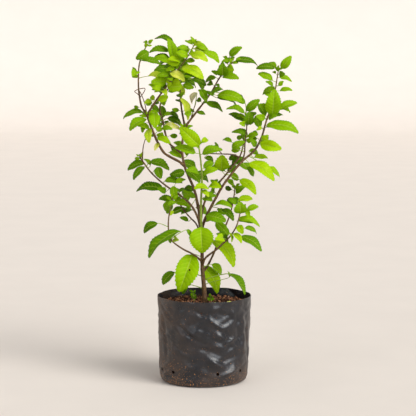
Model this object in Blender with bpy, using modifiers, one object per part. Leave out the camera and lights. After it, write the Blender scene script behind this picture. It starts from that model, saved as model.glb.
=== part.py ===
# Holy basil plant standing in a black film nursery bag filled with potting soil.
# Lengths in the constants and route points are millimetres; mm turns them into metres.
# X runs across the front, Y runs away from the front, Z runs up from the underside of the bag.
import math
import random

import bmesh
import bpy
from mathutils import Vector, noise
from mathutils.bvhtree import BVHTree

mm = 0.001

# Bag of thin film, a little squashed where it stands
bagHeight = 121.0
bagBottomRadius = 54.0
filmThickness = 0.8
bagSteps = 32
bagProfile = ((54.0, 0.0), (60.0, 2.6), (62.3, 9.0), (63.0, 28.0), (63.6, 50.0), (64.2, 74.0),
              (65.0, 98.0), (66.0, 121.0))
creaseDepth = 1.1
creaseLength = 34.0
creaseTurnRadius = 62.0
fineCreaseLength = 15.0
rimWave = 0.9
drainHoleSides = 10
drainPunchRadius = 61.8
drainPunchLength = 9.0
drainHoleRadius = 2.2
drainHoleHeight = 20.0
drainHoleTurns = (-67.0, -43.0, 17.0, 54.0)

# Soil, lying loosely against the film
soilLevel = 110.0
soilGap = 0.35
soilLump = 2.2
soilLevels = (1.4, 9.0, 28.0, 50.0, 74.0, 98.0)
soilRings = (1.0, 0.86, 0.68, 0.48, 0.3)
moundHeight = 2.0
drillLength = 60.0
drillSides = 12
weedFoot = 105.0
weedDrillRadius = 1.5
weedDrillFoot = 103.5
litterLift = 0.3
stemHoleGap = 0.4
stemFoot = 86.0

# Stems and leaves
joinGap = 0.35
leafThickness = 0.85
stalkRadius = 1.0
stalkSides = 3
stalkReach = 1.6
bladeFoot = 0.45
bladeRatio = 0.52
bladeRatioMost = 0.78
archHeight = 0.11
edgeLift = 0.16
largeLeaf = 33.0
smallLeaf = 23.0
leastLeaf = 17.5
clearSpace = 0.45
moveTries = ((0, 0.0), (3, 0.0), (-3, 0.0), (6, 0.0), (-6, 0.0), (3, 0.25), (-3, -0.25), (9, 0.2),
             (-9, -0.2), (13, 0.3), (-13, -0.3), (18, 0.3), (-18, -0.3), (24, 0.1), (-24, -0.1))
spareShootLength = 100.0
spareLeafStart = 60.0
spareLeafSpacing = 95.0
alongStep = 1.5
leastStalk = 4.5
shrinkTries = (1.0, 0.8, 0.62)
seed = 5

# Places along a blade's toothed edge, as a share of its length and a factor on its width
largeMargin = ((0.22, 1.0), (0.42, 1.06), (0.46, 0.9), (0.66, 1.08), (0.69, 0.86), (0.86, 1.05))
middleMargin = ((0.26, 1.0), (0.5, 1.07), (0.55, 0.88), (0.78, 1.1))
smallMargin = ((0.32, 1.04), (0.6, 1.08), (0.66, 0.88))
largeRib = (0.3, 0.66)
middleRib = (0.36, 0.7)
smallRib = (0.42,)

# Each stem is a list of shoots and a list of leaves. A shoot is its radius at the start and at
# the end, then its route points. A leaf is the place of its base and of its tip across and up,
# how wide it looks from the front, and how far its tip leans back from its base.
stems = {
    "main_stem": {
        "shoots": [
            (3.1, 1.5, [
             (0.4, 0, 109.3), (0, 0, 117.9), (-1, 0, 135), (-3.1, 0, 160.6), (-3.5, 1, 181.8),
             (-4.9, 2, 201.5), (-5.2, 4, 216.8), (-7.1, 8, 234.8), (-9.9, 11, 249.2),
             (-14.8, 15, 269.4), (-22.6, 18, 287.5), (-28.1, 20, 301.5), (-31.2, 22, 318.3),
             (-30.9, 25, 337.8), (-27.5, 27, 356)]),
            (1.35, 0.7, [
             (-27.5, 27, 356), (-31.5, 33, 375.4), (-33.7, 38, 392.1), (-34.7, 42, 413.1),
             (-34, 44, 427.2)]),
            (1.4, 0.8, [
             (-27.5, 27, 356), (-19.1, 27, 367.3), (-2.6, 24, 388.6), (9.8, 20, 405.6), (20, 15, 424),
             (32.2, 10, 440.8), (39.7, 8, 447.8)]),
            (0.7, 0.5, [
             (-19.1, 27, 367.3), (-15.6, 31, 379.8), (-12, 34, 390.2)]),
        ],
        "leaves": [
            (-33, 396, -23, 366, 10, -8), (-43, 413, -27, 401, 11, 14), (-11, 424, 0, 408, 9, 8),
            (-32, 421, -11, 412, 8, 17), (-18, 423, 2, 417, 8, -11), (-11, 404, -19, 388, 7, 11),
            (-30, 388, -40, 393, 6, 20), (-35, 427, -24, 433, 9, 17), (-23, 423, -29, 412, 7, 20),
            (18, 401, 56, 394, 13, -8), (2, 389, 27, 379, 9, 6), (25, 426, 48, 425, 8, -8),
            (25, 428, 25, 446, 16, -13), (43, 448, 76, 446, 10, 6), (35, 456, 51, 469, 10, -6),
            (31, 451, 26, 456, 4, 8), (16, 426, 0, 420, 7, 8), (-5, 408, 3, 393, 10, -11),
            (32, 445, 40, 455, 5, 20), (18, 397, 45, 389, 10, 22), (39, 399, 56, 390, 8, 14),
            (-28, 293, -48, 290, 12, -6), (-25, 294, -6, 282, 10, -14), (-32, 306, -11, 294, 11, 17),
            (-15, 288, 7, 279, 9, 20), (-33, 312, -51, 321, 9, 17), (-25, 315, -12, 334, 8, 14),
            (-29, 323, -43, 335, 7, 8), (-12, 243, 5, 232, 9, 17), (-15, 265, -32, 267, 7, 14),
            (-17, 179, -35, 130, 31, -20), (-3, 160, 22, 122, 18, -11), (11, 198, 45, 168, 13, -14),
            (-42, 153, -60, 135, 10, 6), (10, 164, 25, 148, 9, 11), (33, 153, 57, 127, 9, -6),
            (35, 147, 33, 155, 3, 6), (-23, 135, -32, 121, 7, 6), (-16, 217, -33, 218, 5, 11),
            (1, 224, 10, 234, 9, 11), (4, 156, -5, 150, 5, 11)],
    },
    "upper_left_stem": {
        "shoots": [
            (1.7, 1.4, [
             (-28.1, 20, 301.5), (-35.8, 13, 308.4), (-47.7, 4, 315.5), (-56.7, -4, 322.5),
             (-65.2, -10, 337.5), (-69.5, -13, 347.9), (-75.3, -16, 362.9), (-79.4, -18, 375.5)]),
            (1.3, 0.7, [
             (-79.4, -18, 375.5), (-87, -15, 387.8), (-90.3, -12, 404.2), (-91.4, -10, 419.3),
             (-90.5, -8, 442.7), (-85.7, -6, 459.2), (-80.1, -5, 470.2)]),
            (0.7, 0.5, [
             (-79.4, -18, 375.5), (-82.1, -23, 390.9), (-85.9, -24, 402), (-89.3, -24, 408.9)]),
            (1.3, 0.7, [
             (-79.4, -18, 375.5), (-67, -26, 395.2), (-54.7, -33, 412), (-44.3, -39, 425.8),
             (-36.4, -43, 438.2), (-24.3, -47, 454), (-12.3, -50, 474.9)]),
        ],
        "leaves": [
            (-77, 473, -71, 479, 5, -6), (-79, 473, -85, 476, 4, 8), (-77, 462, -94, 453, 13, -6),
            (-87, 449, -61, 445, 7, 6), (-78, 429, -52, 426, 7, -6), (-91, 426, -101, 428, 5, 6),
            (-12, 471, 5, 466, 9, 8), (-18, 460, 5, 452, 10, -6), (-1, 463, 21, 449, 8, 6),
            (-30, 441, -1, 428, 13, -11), (-27, 433, -4, 428, 8, -17), (-46, 435, -27, 425, 10, -14),
            (-39, 437, -55, 443, 7, 11), (-64, 413, -77, 418, 6, 6), (-60, 404, -56, 423, 12, 8),
            (-11, 473, -4, 476, 4, -6), (-33, 450, -48, 454, 8, -14), (-22, 456, -38, 463, 9, -8),
            (-80, 369, -104, 357, 10, -6), (-85, 378, -114, 374, 6, 3), (-69, 378, -68, 360, 15, -14),
            (-76, 356, -77, 339, 10, -11), (-82, 364, -86, 352, 7, -6), (-72, 391, -82, 394, 10, 6),
            (-69, 395, -74, 402, 7, 8), (-91, 386, -98, 386, 5, 6), (-59, 357, -45, 357, 7, -8),
            (-65, 343, -47, 337, 8, -8), (-63, 335, -69, 327, 6, -7), (-74, 366, -64, 374, 8, 11)],
    },
    "inner_left_stem": {
        "shoots": [
            (1.4, 0.7, [
             (-31.2, 22, 318.3), (-40.3, 30, 324.7), (-49.6, 36, 332.1), (-55.4, 40, 345.3),
             (-58.6, 42, 362.2), (-62.5, 43, 373.5), (-63.1, 42, 384.8), (-56.6, 38, 400.6),
             (-49.4, 33, 413.5), (-45.7, 28, 430.5), (-44.9, 24, 447.4)]),
            (0.8, 0.6, [
             (-62.5, 43, 373.5), (-68.3, 48, 379.6), (-71.2, 52, 388.6)]),
        ],
        "leaves": [
            (-46, 453, -49, 480, 12, -6), (-44, 476, -70, 482, 8, 3), (-50, 462, -77, 464, 9, -3),
            (-49, 449, -71, 456, 9, 8), (-37, 454, -21, 467, 11, 8), (-40, 452, -31, 471, 7, 17),
            (-59, 367, -61, 385, 11, 6), (-51, 374, -36, 371, 6, 6), (-53, 367, -29, 356, 9, 11),
            (-56, 358, -34, 352, 7, -3), (-65, 377, -76, 387, 8, 8), (-48, 452, -65, 442, 7, 17),
            (-44, 438, -59, 431, 7, 14), (-40, 438, -23, 442, 9, 14), (-48, 326, -40, 316, 7, 11)],
    },
    "front_stem": {
        "shoots": [
            (1.7, 0.9, [
             (-5.2, -1, 201.9), (-4.6, -9, 219.9), (-4.8, -15, 237.5), (-4.8, -20, 256.6),
             (-3.4, -27, 288), (-4.7, -31, 308.7), (-7.1, -35, 329.2), (-8, -36, 335.3)]),
        ],
        "leaves": [
            (-7, 334, -33, 360, 20, -6), (-4, 338, 5, 343, 7, 11), (-12, 324, -41, 332, 11, -3),
            (-3, 322, 24, 331, 11, -3), (-1, 301, 13, 311, 9, 11), (-2, 293, 18, 303, 8, -8),
            (5, 275, -12, 279, 6, -20), (5, 275, 22, 278, 6, -22), (-4, 271, 6, 266, 6, -11),
            (-8, 296, -23, 303, 7, -14), (-5, 218, -3, 184, 33, -8)],
    },
    "right_stem": {
        "shoots": [
            (1.8, 1, [
             (-4.7, 3, 211.3), (1.4, -6, 230.8), (9.1, -12, 246.9), (18, -17, 264.3), (28, -21, 281.4),
             (50.2, -24, 310), (68.5, -22, 326), (78.8, -18, 344.2), (85.2, -13, 365.5),
             (90.3, -9, 379.2), (95.1, -5, 391.4)]),
            (1, 0.7, [
             (90.3, -9, 379.2), (95.4, 2, 395.2), (99, 8, 410.3), (100.9, 10, 422.7),
             (103.2, 11, 436.6)]),
            (1.1, 0.7, [
             (51.9, -23.5, 310), (55.5, -14, 322.6), (56.4, -6, 337.3), (58.9, 2, 357.6),
             (57.3, 6, 372.7)]),
        ],
        "leaves": [
            (98, 439, 72, 440, 8, 3), (100, 440, 89, 448, 8, 11), (107, 438, 120, 456, 12, -6),
            (95, 422, 75, 432, 8, 3), (105, 425, 123, 422, 6, 3), (103, 414, 110, 418, 5, 6),
            (99, 410, 80, 404, 7, 6), (105, 408, 122, 409, 6, -6), (94, 375, 96, 411, 22, -14),
            (105, 382, 129, 392, 9, 6), (107, 384, 121, 380, 6, 14), (87, 360, 130, 355, 13, -8),
            (89, 370, 110, 375, 7, 11), (85, 373, 75, 390, 10, 6), (84, 370, 71, 375, 9, -8),
            (77, 358, 71, 375, 11, 8), (77, 334, 106, 330, 15, -6), (71, 332, 64, 343, 8, -11),
            (69, 317, 88, 316, 6, 6), (62, 310, 97, 288, 16, -11), (87, 302, 106, 290, 8, 8),
            (59, 303, 69, 290, 8, 11), (59, 380, 76, 396, 12, -3), (56, 376, 31, 385, 8, 0),
            (56, 364, 34, 376, 9, 6), (61, 360, 62, 379, 15, -8), (57, 390, 40, 398, 9, 8),
            (57, 347, 38, 352, 7, 0), (65, 347, 75, 350, 8, 8), (38, 337, 25, 341, 5, 8),
            (38, 330, 55, 339, 10, -6), (59, 337, 67, 344, 7, -8), (50, 329, 37, 324, 8, 6),
            (62, 326, 77, 320, 7, 11), (14, 249, 38, 251, 5, -8), (24, 244, 41, 230, 8, -8),
            (2, 234, 30, 229, 13, -11)],
    },
    "right_back_stem": {
        "shoots": [
            (1.5, 0.9, [
             (-5.6, 5, 223.8), (-2.2, 15, 242.5), (2.8, 24, 255.7), (14.8, 33, 270.4),
             (30.5, 42, 287.4), (42, 48, 301.9), (50.6, 52, 313), (54.9, 54, 327.1), (56.3, 54, 338.6)]),
            (0.9, 0.6, [
             (49.1, 51, 311.6), (39.1, 49, 315.4), (24.8, 44, 316.5), (4.9, 38, 317.7)]),
            (0.6, 0.5, [
             (24.8, 44, 316.5), (19.1, 42, 323.8), (16.3, 41, 332.4)]),
        ],
        "leaves": [
            (24, 294, 25, 316, 21, -8), (17, 320, 16, 334, 4, -3), (0, 311, 14, 307, 7, 8),
            (50, 280, 74, 262, 13, -8), (39, 300, 57, 310, 9, 8), (38, 290, 48, 278, 9, 6),
            (50, 299, 70, 292, 9, 11), (32, 279, 42, 270, 7, 11), (29, 292, 10, 299, 9, 11),
            (45, 314, 35, 307, 8, 6), (60, 339, 50, 353, 8, 8), (33, 288, 48, 299, 9, 11)],
    },
    "left_stem": {
        "shoots": [
            (1.5, 0.8, [
             (-5.5, 3, 214.1), (-9.8, -3, 231.8), (-19, -5, 249), (-33.3, -2, 261.6),
             (-56.1, 4, 276.7), (-74.6, 8, 293), (-87, 10, 309.4), (-91.1, 11, 315.4)]),
            (0.7, 0.5, [
             (-87, 10, 309.4), (-86.6, 6, 319.6), (-85.5, 3, 330.4), (-82.6, 2, 340.9)]),
        ],
        "leaves": [
            (-84, 305, -109, 297, 9, 3), (-84, 301, -100, 285, 9, -6), (-77, 308, -49, 297, 9, 6),
            (-66, 301, -61, 286, 12, -8), (-58, 270, -96, 272, 11, 3), (-56, 280, -31, 278, 9, 6),
            (-44, 275, -41, 257, 11, -8), (-76, 303, -85, 313, 5, 8), (-40, 279, -27, 284, 7, 11),
            (-13, 259, -31, 264, 7, 8), (-54, 267, -65, 273, 8, -11)],
    },
    "left_thin_stem": {
        "shoots": [
            (1.1, 0.7, [
             (-3.8, 1, 198.8), (-10.9, 12, 218.7), (-19.1, 20, 227), (-25.6, 26, 233.4),
             (-33.5, 32, 243.4), (-38.5, 36, 255.8)]),
        ],
        "leaves": [
            (-44, 250, -65, 255, 8, 3), (-44, 250, -19, 244, 8, -3), (-48, 248, -53, 233, 10, -6),
            (-46, 233, -25, 240, 9, 6), (-33, 232, -15, 238, 7, 8), (-23, 223, -35, 229, 6, 6),
            (-23, 251, -32, 264, 7, 11)],
    },
    "left_low_stem": {
        "shoots": [
            (1.3, 0.7, [
             (-3.3, 0, 167.7), (-10.5, -7, 175.8), (-20.5, -13, 183.1), (-29.1, -18, 188),
             (-42.6, -24, 198.4), (-47.6, -26, 206.2), (-50, -28, 218.9), (-49.4, -27, 235),
             (-46.4, -25, 248.4), (-45, -22, 260.6)]),
        ],
        "leaves": [
            (-65, 226, -86, 214, 9, 3), (-49, 255, -56, 241, 8, 6), (-49, 235, -43, 242, 5, 6),
            (-51, 251, -39, 256, 6, 8), (-33, 216, -78, 183, 11, -6), (-25, 216, -19, 204, 4, 11)],
    },
    "right_low_stem": {
        "shoots": [
            (1.4, 0.7, [
             (-3.3, 0, 162.1), (0.7, -7, 173.6), (8.3, -13, 181.2), (15.6, -18, 187),
             (25.6, -24, 197.1), (35.4, -27, 207.6), (44.1, -27, 221.3), (48.5, -24, 235.7),
             (50, -21, 246.5)]),
        ],
        "leaves": [
            (48, 229, 78, 223, 7, 3), (50, 239, 49, 256, 18, -8), (59, 243, 75, 249, 7, 3),
            (59, 243, 62, 235, 7, -6), (44, 251, 33, 261, 7, 6), (47, 257, 67, 259, 7, 6),
            (46, 228, 78, 223, 7, 6), (47, 223, 53, 213, 10, -8), (56, 219, 74, 212, 6, 6),
            (50, 208, 80, 190, 11, -8), (39, 211, 52, 202, 6, -8), (34, 214, 38, 201, 4, -6)],
    },
    "right_low_back_stem": {
        "shoots": [
            (1.4, 0.7, [
             (-2.8, 0, 153.5), (3.2, 8, 159.4), (12, 17, 175.3), (18.8, 26, 191.2), (26.1, 34, 205.9),
             (33.7, 40, 223.1), (39.2, 43, 240.7), (42, 44, 256.4), (43.4, 44, 269.3)]),
        ],
        "leaves": [
            (29, 211, 33, 199, 6, 8), (39, 239, 33, 251, 7, 8), (45, 258, 58, 270, 7, 6),
            (39, 264, 29, 268, 7, 6), (41, 252, 52, 242, 8, 11), (16, 220, 34, 202, 13, -6),
            (31, 230, 18, 238, 8, 6)],
    },
}

# A bit of leaf fallen on the soil: place across and back, turn in degrees, length
fallenLeaves = {
    "fallen_leaf_1": (-26.0, -24.0, 20.0, 12.0),
    "fallen_leaf_2": (-9.0, -31.0, 150.0, 11.0),
    "fallen_leaf_3": (16.0, -33.0, 75.0, 13.0),
    "fallen_leaf_4": (34.0, -22.0, 200.0, 12.0),
}

# A weed seedling beside the trunk: place across and back, height
weedSprigs = {
    "weed_sprig_1": (-15.0, -2.0, 15.0),
    "weed_sprig_2": (9.5, -9.5, 9.0),
}


def clearScene():
    for old in list(bpy.data.objects):
        bpy.data.objects.remove(old, do_unlink=True)


def makeCollection(name):
    made = bpy.data.collections.new(name)
    bpy.context.scene.collection.children.link(made)
    return made


def makeMaterial(name, colour, roughness):
    made = bpy.data.materials.new(name)
    made.use_nodes = True
    shader = made.node_tree.nodes["Principled BSDF"]
    shader.inputs["Base Color"].default_value = (*colour, 1.0)
    shader.inputs["Roughness"].default_value = roughness
    shader.inputs["Metallic"].default_value = 0.0
    return made


def addMesh(name, points, faces, collection):
    mesh = bpy.data.meshes.new(name)
    mesh.from_pydata([tuple(p) for p in points], [], faces)
    mesh.update()
    made = bpy.data.objects.new(name, mesh)
    collection.objects.link(made)
    return made


def applyModifiers(thing):
    bpy.context.view_layer.update()
    graph = bpy.context.evaluated_depsgraph_get()
    baked = bpy.data.meshes.new_from_object(thing.evaluated_get(graph))
    thing.modifiers.clear()
    old = thing.data
    thing.data = baked
    bpy.data.meshes.remove(old)


def facingOutward(thing):
    shape = bmesh.new()
    shape.from_mesh(thing.data)
    bmesh.ops.remove_doubles(shape, verts=shape.verts, dist=1e-6)
    bmesh.ops.recalc_face_normals(shape, faces=shape.faces)
    shape.to_mesh(thing.data)
    shape.free()


def makeCutter(thing, name, cutters):
    thing.name = name
    thing.display_type = "WIRE"
    for holder in list(thing.users_collection):
        holder.objects.unlink(thing)
    cutters.objects.link(thing)


# Bag and soil

def creaseAt(turn, height):
    """How far the film stands out or in here, in millimetres."""
    across = math.sin(turn) * creaseTurnRadius / creaseLength
    back = math.cos(turn) * creaseTurnRadius / creaseLength
    broad = noise.noise(Vector((across, back, height / creaseLength + across * 0.8)))
    fine = noise.noise(Vector((across * 2.3 + 7.0, back * 2.3,
                               height / fineCreaseLength - across * 1.6)))
    fade = min(1.0, height / 22.0) * (1.0 if height < 90.0 else 0.55)
    return creaseDepth * fade * (broad + 0.6 * fine)


def filmRadius(turn, height):
    below = bagProfile[0]
    for above in bagProfile[1:]:
        if height <= above[1]:
            break
        below = above
    share = (height - below[1]) / (above[1] - below[1])
    return below[0] + (above[0] - below[0]) * share + creaseAt(turn, height)


def ringPoint(turn, radius, height):
    return Vector((math.sin(turn) * radius, -math.cos(turn) * radius, height)) * mm


def makeBag(collection, cutters):
    """The film: a turned profile with creases, thickened inward, with drain holes punched."""
    route = [(0.0, 0.0, 0.0)] + [(radius * mm, 0.0, height * mm) for radius, height in bagProfile]
    bag = addMesh("grow_bag", route, [], collection)
    shape = bmesh.new()
    shape.from_mesh(bag.data)
    shape.verts.ensure_lookup_table()
    for first, second in zip(shape.verts[:-1], shape.verts[1:]):
        shape.edges.new((first, second))
    bmesh.ops.spin(shape, geom=shape.verts[:] + shape.edges[:], cent=(0, 0, 0), axis=(0, 0, 1),
                   angle=2 * math.pi, steps=bagSteps, use_merge=True)
    bmesh.ops.remove_doubles(shape, verts=shape.verts, dist=1e-6)
    for vert in shape.verts:
        turn = math.atan2(vert.co.x, -vert.co.y)
        height = vert.co.z / mm
        if height > 0.5:
            radius = filmRadius(turn, height)
            lift = rimWave * noise.noise(Vector((math.sin(turn) * 2, math.cos(turn) * 2, 3.0)))
            lift = lift if height > bagHeight - 1 else 0.0
            vert.co = ringPoint(turn, radius, height + lift)
    bmesh.ops.recalc_face_normals(shape, faces=shape.faces)
    shape.to_mesh(bag.data)
    shape.free()
    film = bag.modifiers.new("film", "SOLIDIFY")
    film.thickness = filmThickness * mm
    film.offset = -1.0
    applyModifiers(bag)
    facingOutward(bag)
    for side in (0.0, 180.0):
        for turn in drainHoleTurns:
            angle = math.radians(turn + side)
            bpy.ops.mesh.primitive_cylinder_add(vertices=drainHoleSides,
                                                radius=drainHoleRadius * mm,
                                                depth=drainPunchLength * mm)
            punch = bpy.context.object
            punch.rotation_euler = (math.pi / 2, 0.0, angle)
            punch.location = ringPoint(angle, drainPunchRadius, drainHoleHeight)
            makeCutter(punch, "drain_punch", cutters)
    cut = bag.modifiers.new("drain holes", "BOOLEAN")
    cut.operation = "DIFFERENCE"
    cut.operand_type = "COLLECTION"
    cut.collection = cutters
    cut.solver = "EXACT"
    applyModifiers(bag)
    for punch in list(cutters.objects):
        bpy.data.objects.remove(punch, do_unlink=True)
    return bag


def soilHeight(x, y):
    """Height of the crumbly soil top at a place in millimetres."""
    broad = noise.noise(Vector((x / 22.0, y / 22.0, 1.5)))
    fine = noise.noise(Vector((x / 8.0, y / 8.0, 4.5)))
    mound = moundHeight * math.exp(-(x * x + y * y) / 500.0)
    return soilLevel + soilLump * (0.7 * broad + 0.5 * fine) + mound


def makeSoil(collection, cutters, trunkFoot, holeRadius):
    """A plug of soil that follows the film, with lumps on top and a plain hole for the trunk."""
    inside = filmThickness + soilGap
    points = []
    faces = []
    turns = [2 * math.pi * k / bagSteps for k in range(bagSteps)]
    for level in soilLevels:
        for turn in turns:
            radius = filmRadius(turn, level) - inside if level > 2 else bagBottomRadius - 1.0
            points.append(ringPoint(turn, radius, level))
    for share in soilRings:
        for turn in turns:
            radius = (filmRadius(turn, soilLevel) - inside - 0.3) * share
            spot = ringPoint(turn, radius, 0.0) / mm
            height = soilHeight(spot.x, spot.y)
            height = min(height, soilLevel - 1.0) if share == 1.0 else height
            points.append(Vector((spot.x, spot.y, height)) * mm)
    rings = len(soilLevels) + len(soilRings)
    for ring in range(rings - 1):
        for k in range(bagSteps):
            after = (k + 1) % bagSteps
            low = ring * bagSteps
            high = low + bagSteps
            faces.append((low + k, low + after, high + after, high + k))
    faces.append(tuple(reversed(range(bagSteps))))
    points.append(Vector((0.0, 0.0, soilHeight(0, 0))) * mm)
    last = (rings - 1) * bagSteps
    for k in range(bagSteps):
        faces.append((last + k, last + (k + 1) % bagSteps, len(points) - 1))
    soil = addMesh("soil", points, faces, collection)
    facingOutward(soil)
    holes = [(trunkFoot.x, trunkFoot.y, stemFoot - 0.5, holeRadius)]
    for across, back, _ in weedSprigs.values():
        holes.append((across * mm, back * mm, weedDrillFoot, weedDrillRadius * mm))
    for x, y, bottom, radius in holes:
        middle = (x, y, (bottom + drillLength / 2) * mm)
        bpy.ops.mesh.primitive_cylinder_add(vertices=drillSides, radius=radius,
                                            depth=drillLength * mm, location=middle)
        makeCutter(bpy.context.object, "stem_drill", cutters)
    cut = soil.modifiers.new("stem holes", "BOOLEAN")
    cut.operation = "DIFFERENCE"
    cut.operand_type = "COLLECTION"
    cut.collection = cutters
    cut.solver = "EXACT"
    applyModifiers(soil)
    for drill in list(cutters.objects):
        bpy.data.objects.remove(drill, do_unlink=True)
    return soil


# Stems

def makeTube(name, shoot, collection, grow=0.0):
    """A tapering stem with closed ends, as a mesh."""
    thick, thin, route = shoot
    curve = bpy.data.curves.new(name, "CURVE")
    curve.dimensions = "3D"
    curve.bevel_depth = 1.0 * mm
    curve.bevel_resolution = 1
    curve.use_fill_caps = True
    curve.twist_mode = "MINIMUM"
    line = curve.splines.new("POLY")
    line.points.add(len(route) - 1)
    for k, spot in enumerate(route):
        share = k / (len(route) - 1)
        line.points[k].co = (spot[0] * mm, spot[1] * mm, spot[2] * mm, 1.0)
        line.points[k].radius = thick + (thin - thick) * share + grow
    wire = bpy.data.objects.new(name, curve)
    collection.objects.link(wire)
    bpy.context.view_layer.update()
    graph = bpy.context.evaluated_depsgraph_get()
    mesh = bpy.data.meshes.new_from_object(wire.evaluated_get(graph))
    bpy.data.objects.remove(wire, do_unlink=True)
    tube = bpy.data.objects.new(name, mesh)
    collection.objects.link(tube)
    facingOutward(tube)
    return tube


def alongShoots(shoots):
    """Points every millimetre or so along the shoots: (shoot number, place)."""
    found = []
    for number, (_, _, route) in enumerate(shoots):
        for first, second in zip(route[:-1], route[1:]):
            start = Vector(first)
            end = Vector(second)
            steps = max(1, int((end - start).length / alongStep))
            for k in range(steps):
                found.append((number, start.lerp(end, k / steps)))
        found.append((number, Vector(route[-1])))
    return found


def holdingPoint(shoots, x, z):
    """Where on its shoots the stalk of a leaf based at x, z leaves the stem."""
    spots = alongShoots(shoots)
    target = Vector((x, 0.0, z))
    best = 0
    for k, (_, spot) in enumerate(spots):
        flat = Vector((spot.x, 0.0, spot.z))
        other = Vector((spots[best][1].x, 0.0, spots[best][1].z))
        if (flat - target).length < (other - target).length:
            best = k
    number, nearest = spots[best]
    apart = (Vector((nearest.x, 0.0, nearest.z)) - target).length
    down = min(int(apart * 0.35 / alongStep), 6)
    lower = max(0, best - down)
    if spots[lower][0] != number:
        lower = best
    return spots[lower][1]


# Leaves

def leafWidth(share):
    return math.sin(math.pi * share ** 0.86) ** 0.8


def bladeMargin(length):
    """Margin places as (share of length, width factor), a toothed line, and the midrib shares."""
    if length > largeLeaf:
        return largeMargin, largeRib
    if length > smallLeaf:
        return middleMargin, middleRib
    return smallMargin, smallRib


def leafFrame(base, tip, looksWide, side):
    """Across and upper directions of a blade, and its true width."""
    axis = (tip - base).normalized()
    length = (tip - base).length
    picture = Vector((-axis.z, 0.0, axis.x))
    if picture.length < 0.2:
        picture = Vector((1.0, 0.0, 0.0))
    picture.normalize()
    if picture.z < 0 or (abs(picture.z) < 0.25 and side < 0):
        picture = -picture
    width = min(max(looksWide, bladeRatio * length), bladeRatioMost * length)
    front = axis.cross(picture).normalized()
    if front.y > 0:
        front = -front
    share = min(1.0, looksWide / width)
    tilt = math.acos(share)
    upper = front * math.cos(tilt) + picture * math.sin(tilt)
    upper = (upper - axis * upper.dot(axis)).normalized()
    across = axis.cross(upper).normalized()
    return axis, across, upper, width


def leafSurface(base, tip, looksWide, side, turnWave):
    """Open surface of a blade: points, triangles, upper direction and where its stalk ends."""
    axis, across, upper, width = leafFrame(base, tip, looksWide, side)
    length = (tip - base).length
    margin, rib = bladeMargin(length)
    points = []
    faces = []

    def place(share, outward):
        arch = upper * length * archHeight * 4 * share * (1 - share)
        lift = upper * abs(outward) * edgeLift
        wave = upper * length * 0.04 * math.sin(9 * share + turnWave) * abs(outward) / width
        return base.lerp(tip, share) + arch + lift + wave + across * outward

    for outward in (-bladeFoot, bladeFoot):
        points.append(place(0.0, outward))
    ribNumbers = []
    for share in rib:
        points.append(place(share, 0.0))
        ribNumbers.append(len(points) - 1)
    points.append(place(1.0, 0.0))
    tipNumber = len(points) - 1
    faces.append((1, 0, ribNumbers[0]))
    for sign, corner in ((-1, 0), (1, 1)):
        outer = [(0.0, corner)]
        for share, factor in margin:
            points.append(place(share, sign * width / 2 * leafWidth(share) * factor))
            outer.append((share, len(points) - 1))
        outer.append((1.0, tipNumber))
        inner = list(zip(rib, ribNumbers)) + [(1.0, tipNumber)]
        a = 0
        b = 0
        while a < len(outer) - 1 or b < len(inner) - 1:
            canOuter = a < len(outer) - 1
            if canOuter and (b == len(inner) - 1 or outer[a + 1][0] <= inner[b + 1][0]):
                face = (inner[b][1], outer[a][1], outer[a + 1][1])
                a += 1
            else:
                face = (inner[b][1], outer[a][1], inner[b + 1][1])
                b += 1
            if len(set(face)) == 3:
                faces.append(face if sign < 0 else (face[0], face[2], face[1]))
    return points, faces, upper, place(stalkReach / length, 0.0)


def stalkShape(hold, end, thick):
    """Points and faces of a straight stalk with closed ends."""
    shape = bmesh.new()
    bmesh.ops.create_cone(shape, cap_ends=True, segments=stalkSides, radius1=thick,
                          radius2=thick * 0.9, depth=(end - hold).length)
    turn = Vector((0, 0, 1)).rotation_difference((end - hold).normalized())
    for vert in shape.verts:
        vert.co = turn @ vert.co + (hold + end) / 2
    points = [vert.co.copy() for vert in shape.verts]
    faces = [tuple(vert.index for vert in face.verts) for face in shape.faces]
    shape.free()
    return points, faces


def thickTree(points, faces, upper, thickness):
    """Search tree of the two faces of a blade of this thickness."""
    away = upper * thickness / 2
    both = [p + away for p in points] + [p - away for p in points]
    count = len(points)
    return BVHTree.FromPolygons(both, faces + [tuple(n + count for n in face) for face in faces])


def boxOf(points, grow):
    low = [min(p[k] for p in points) - grow for k in range(3)]
    high = [max(p[k] for p in points) + grow for k in range(3)]
    return low, high


def boxesMeet(first, second):
    return all(first[0][k] <= second[1][k] and second[0][k] <= first[1][k] for k in range(3))


def meshTree(thing):
    """Search tree and box of a finished mesh, in millimetres."""
    points = [v.co / mm for v in thing.data.vertices]
    faces = [tuple(p.vertices) for p in thing.data.polygons]
    return BVHTree.FromPolygons(points, faces), boxOf(points, 0.0)


def meets(tree, box, others):
    for other, otherBox in others:
        if boxesMeet(box, otherBox) and tree.overlap(other):
            return True
    return False


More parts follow.
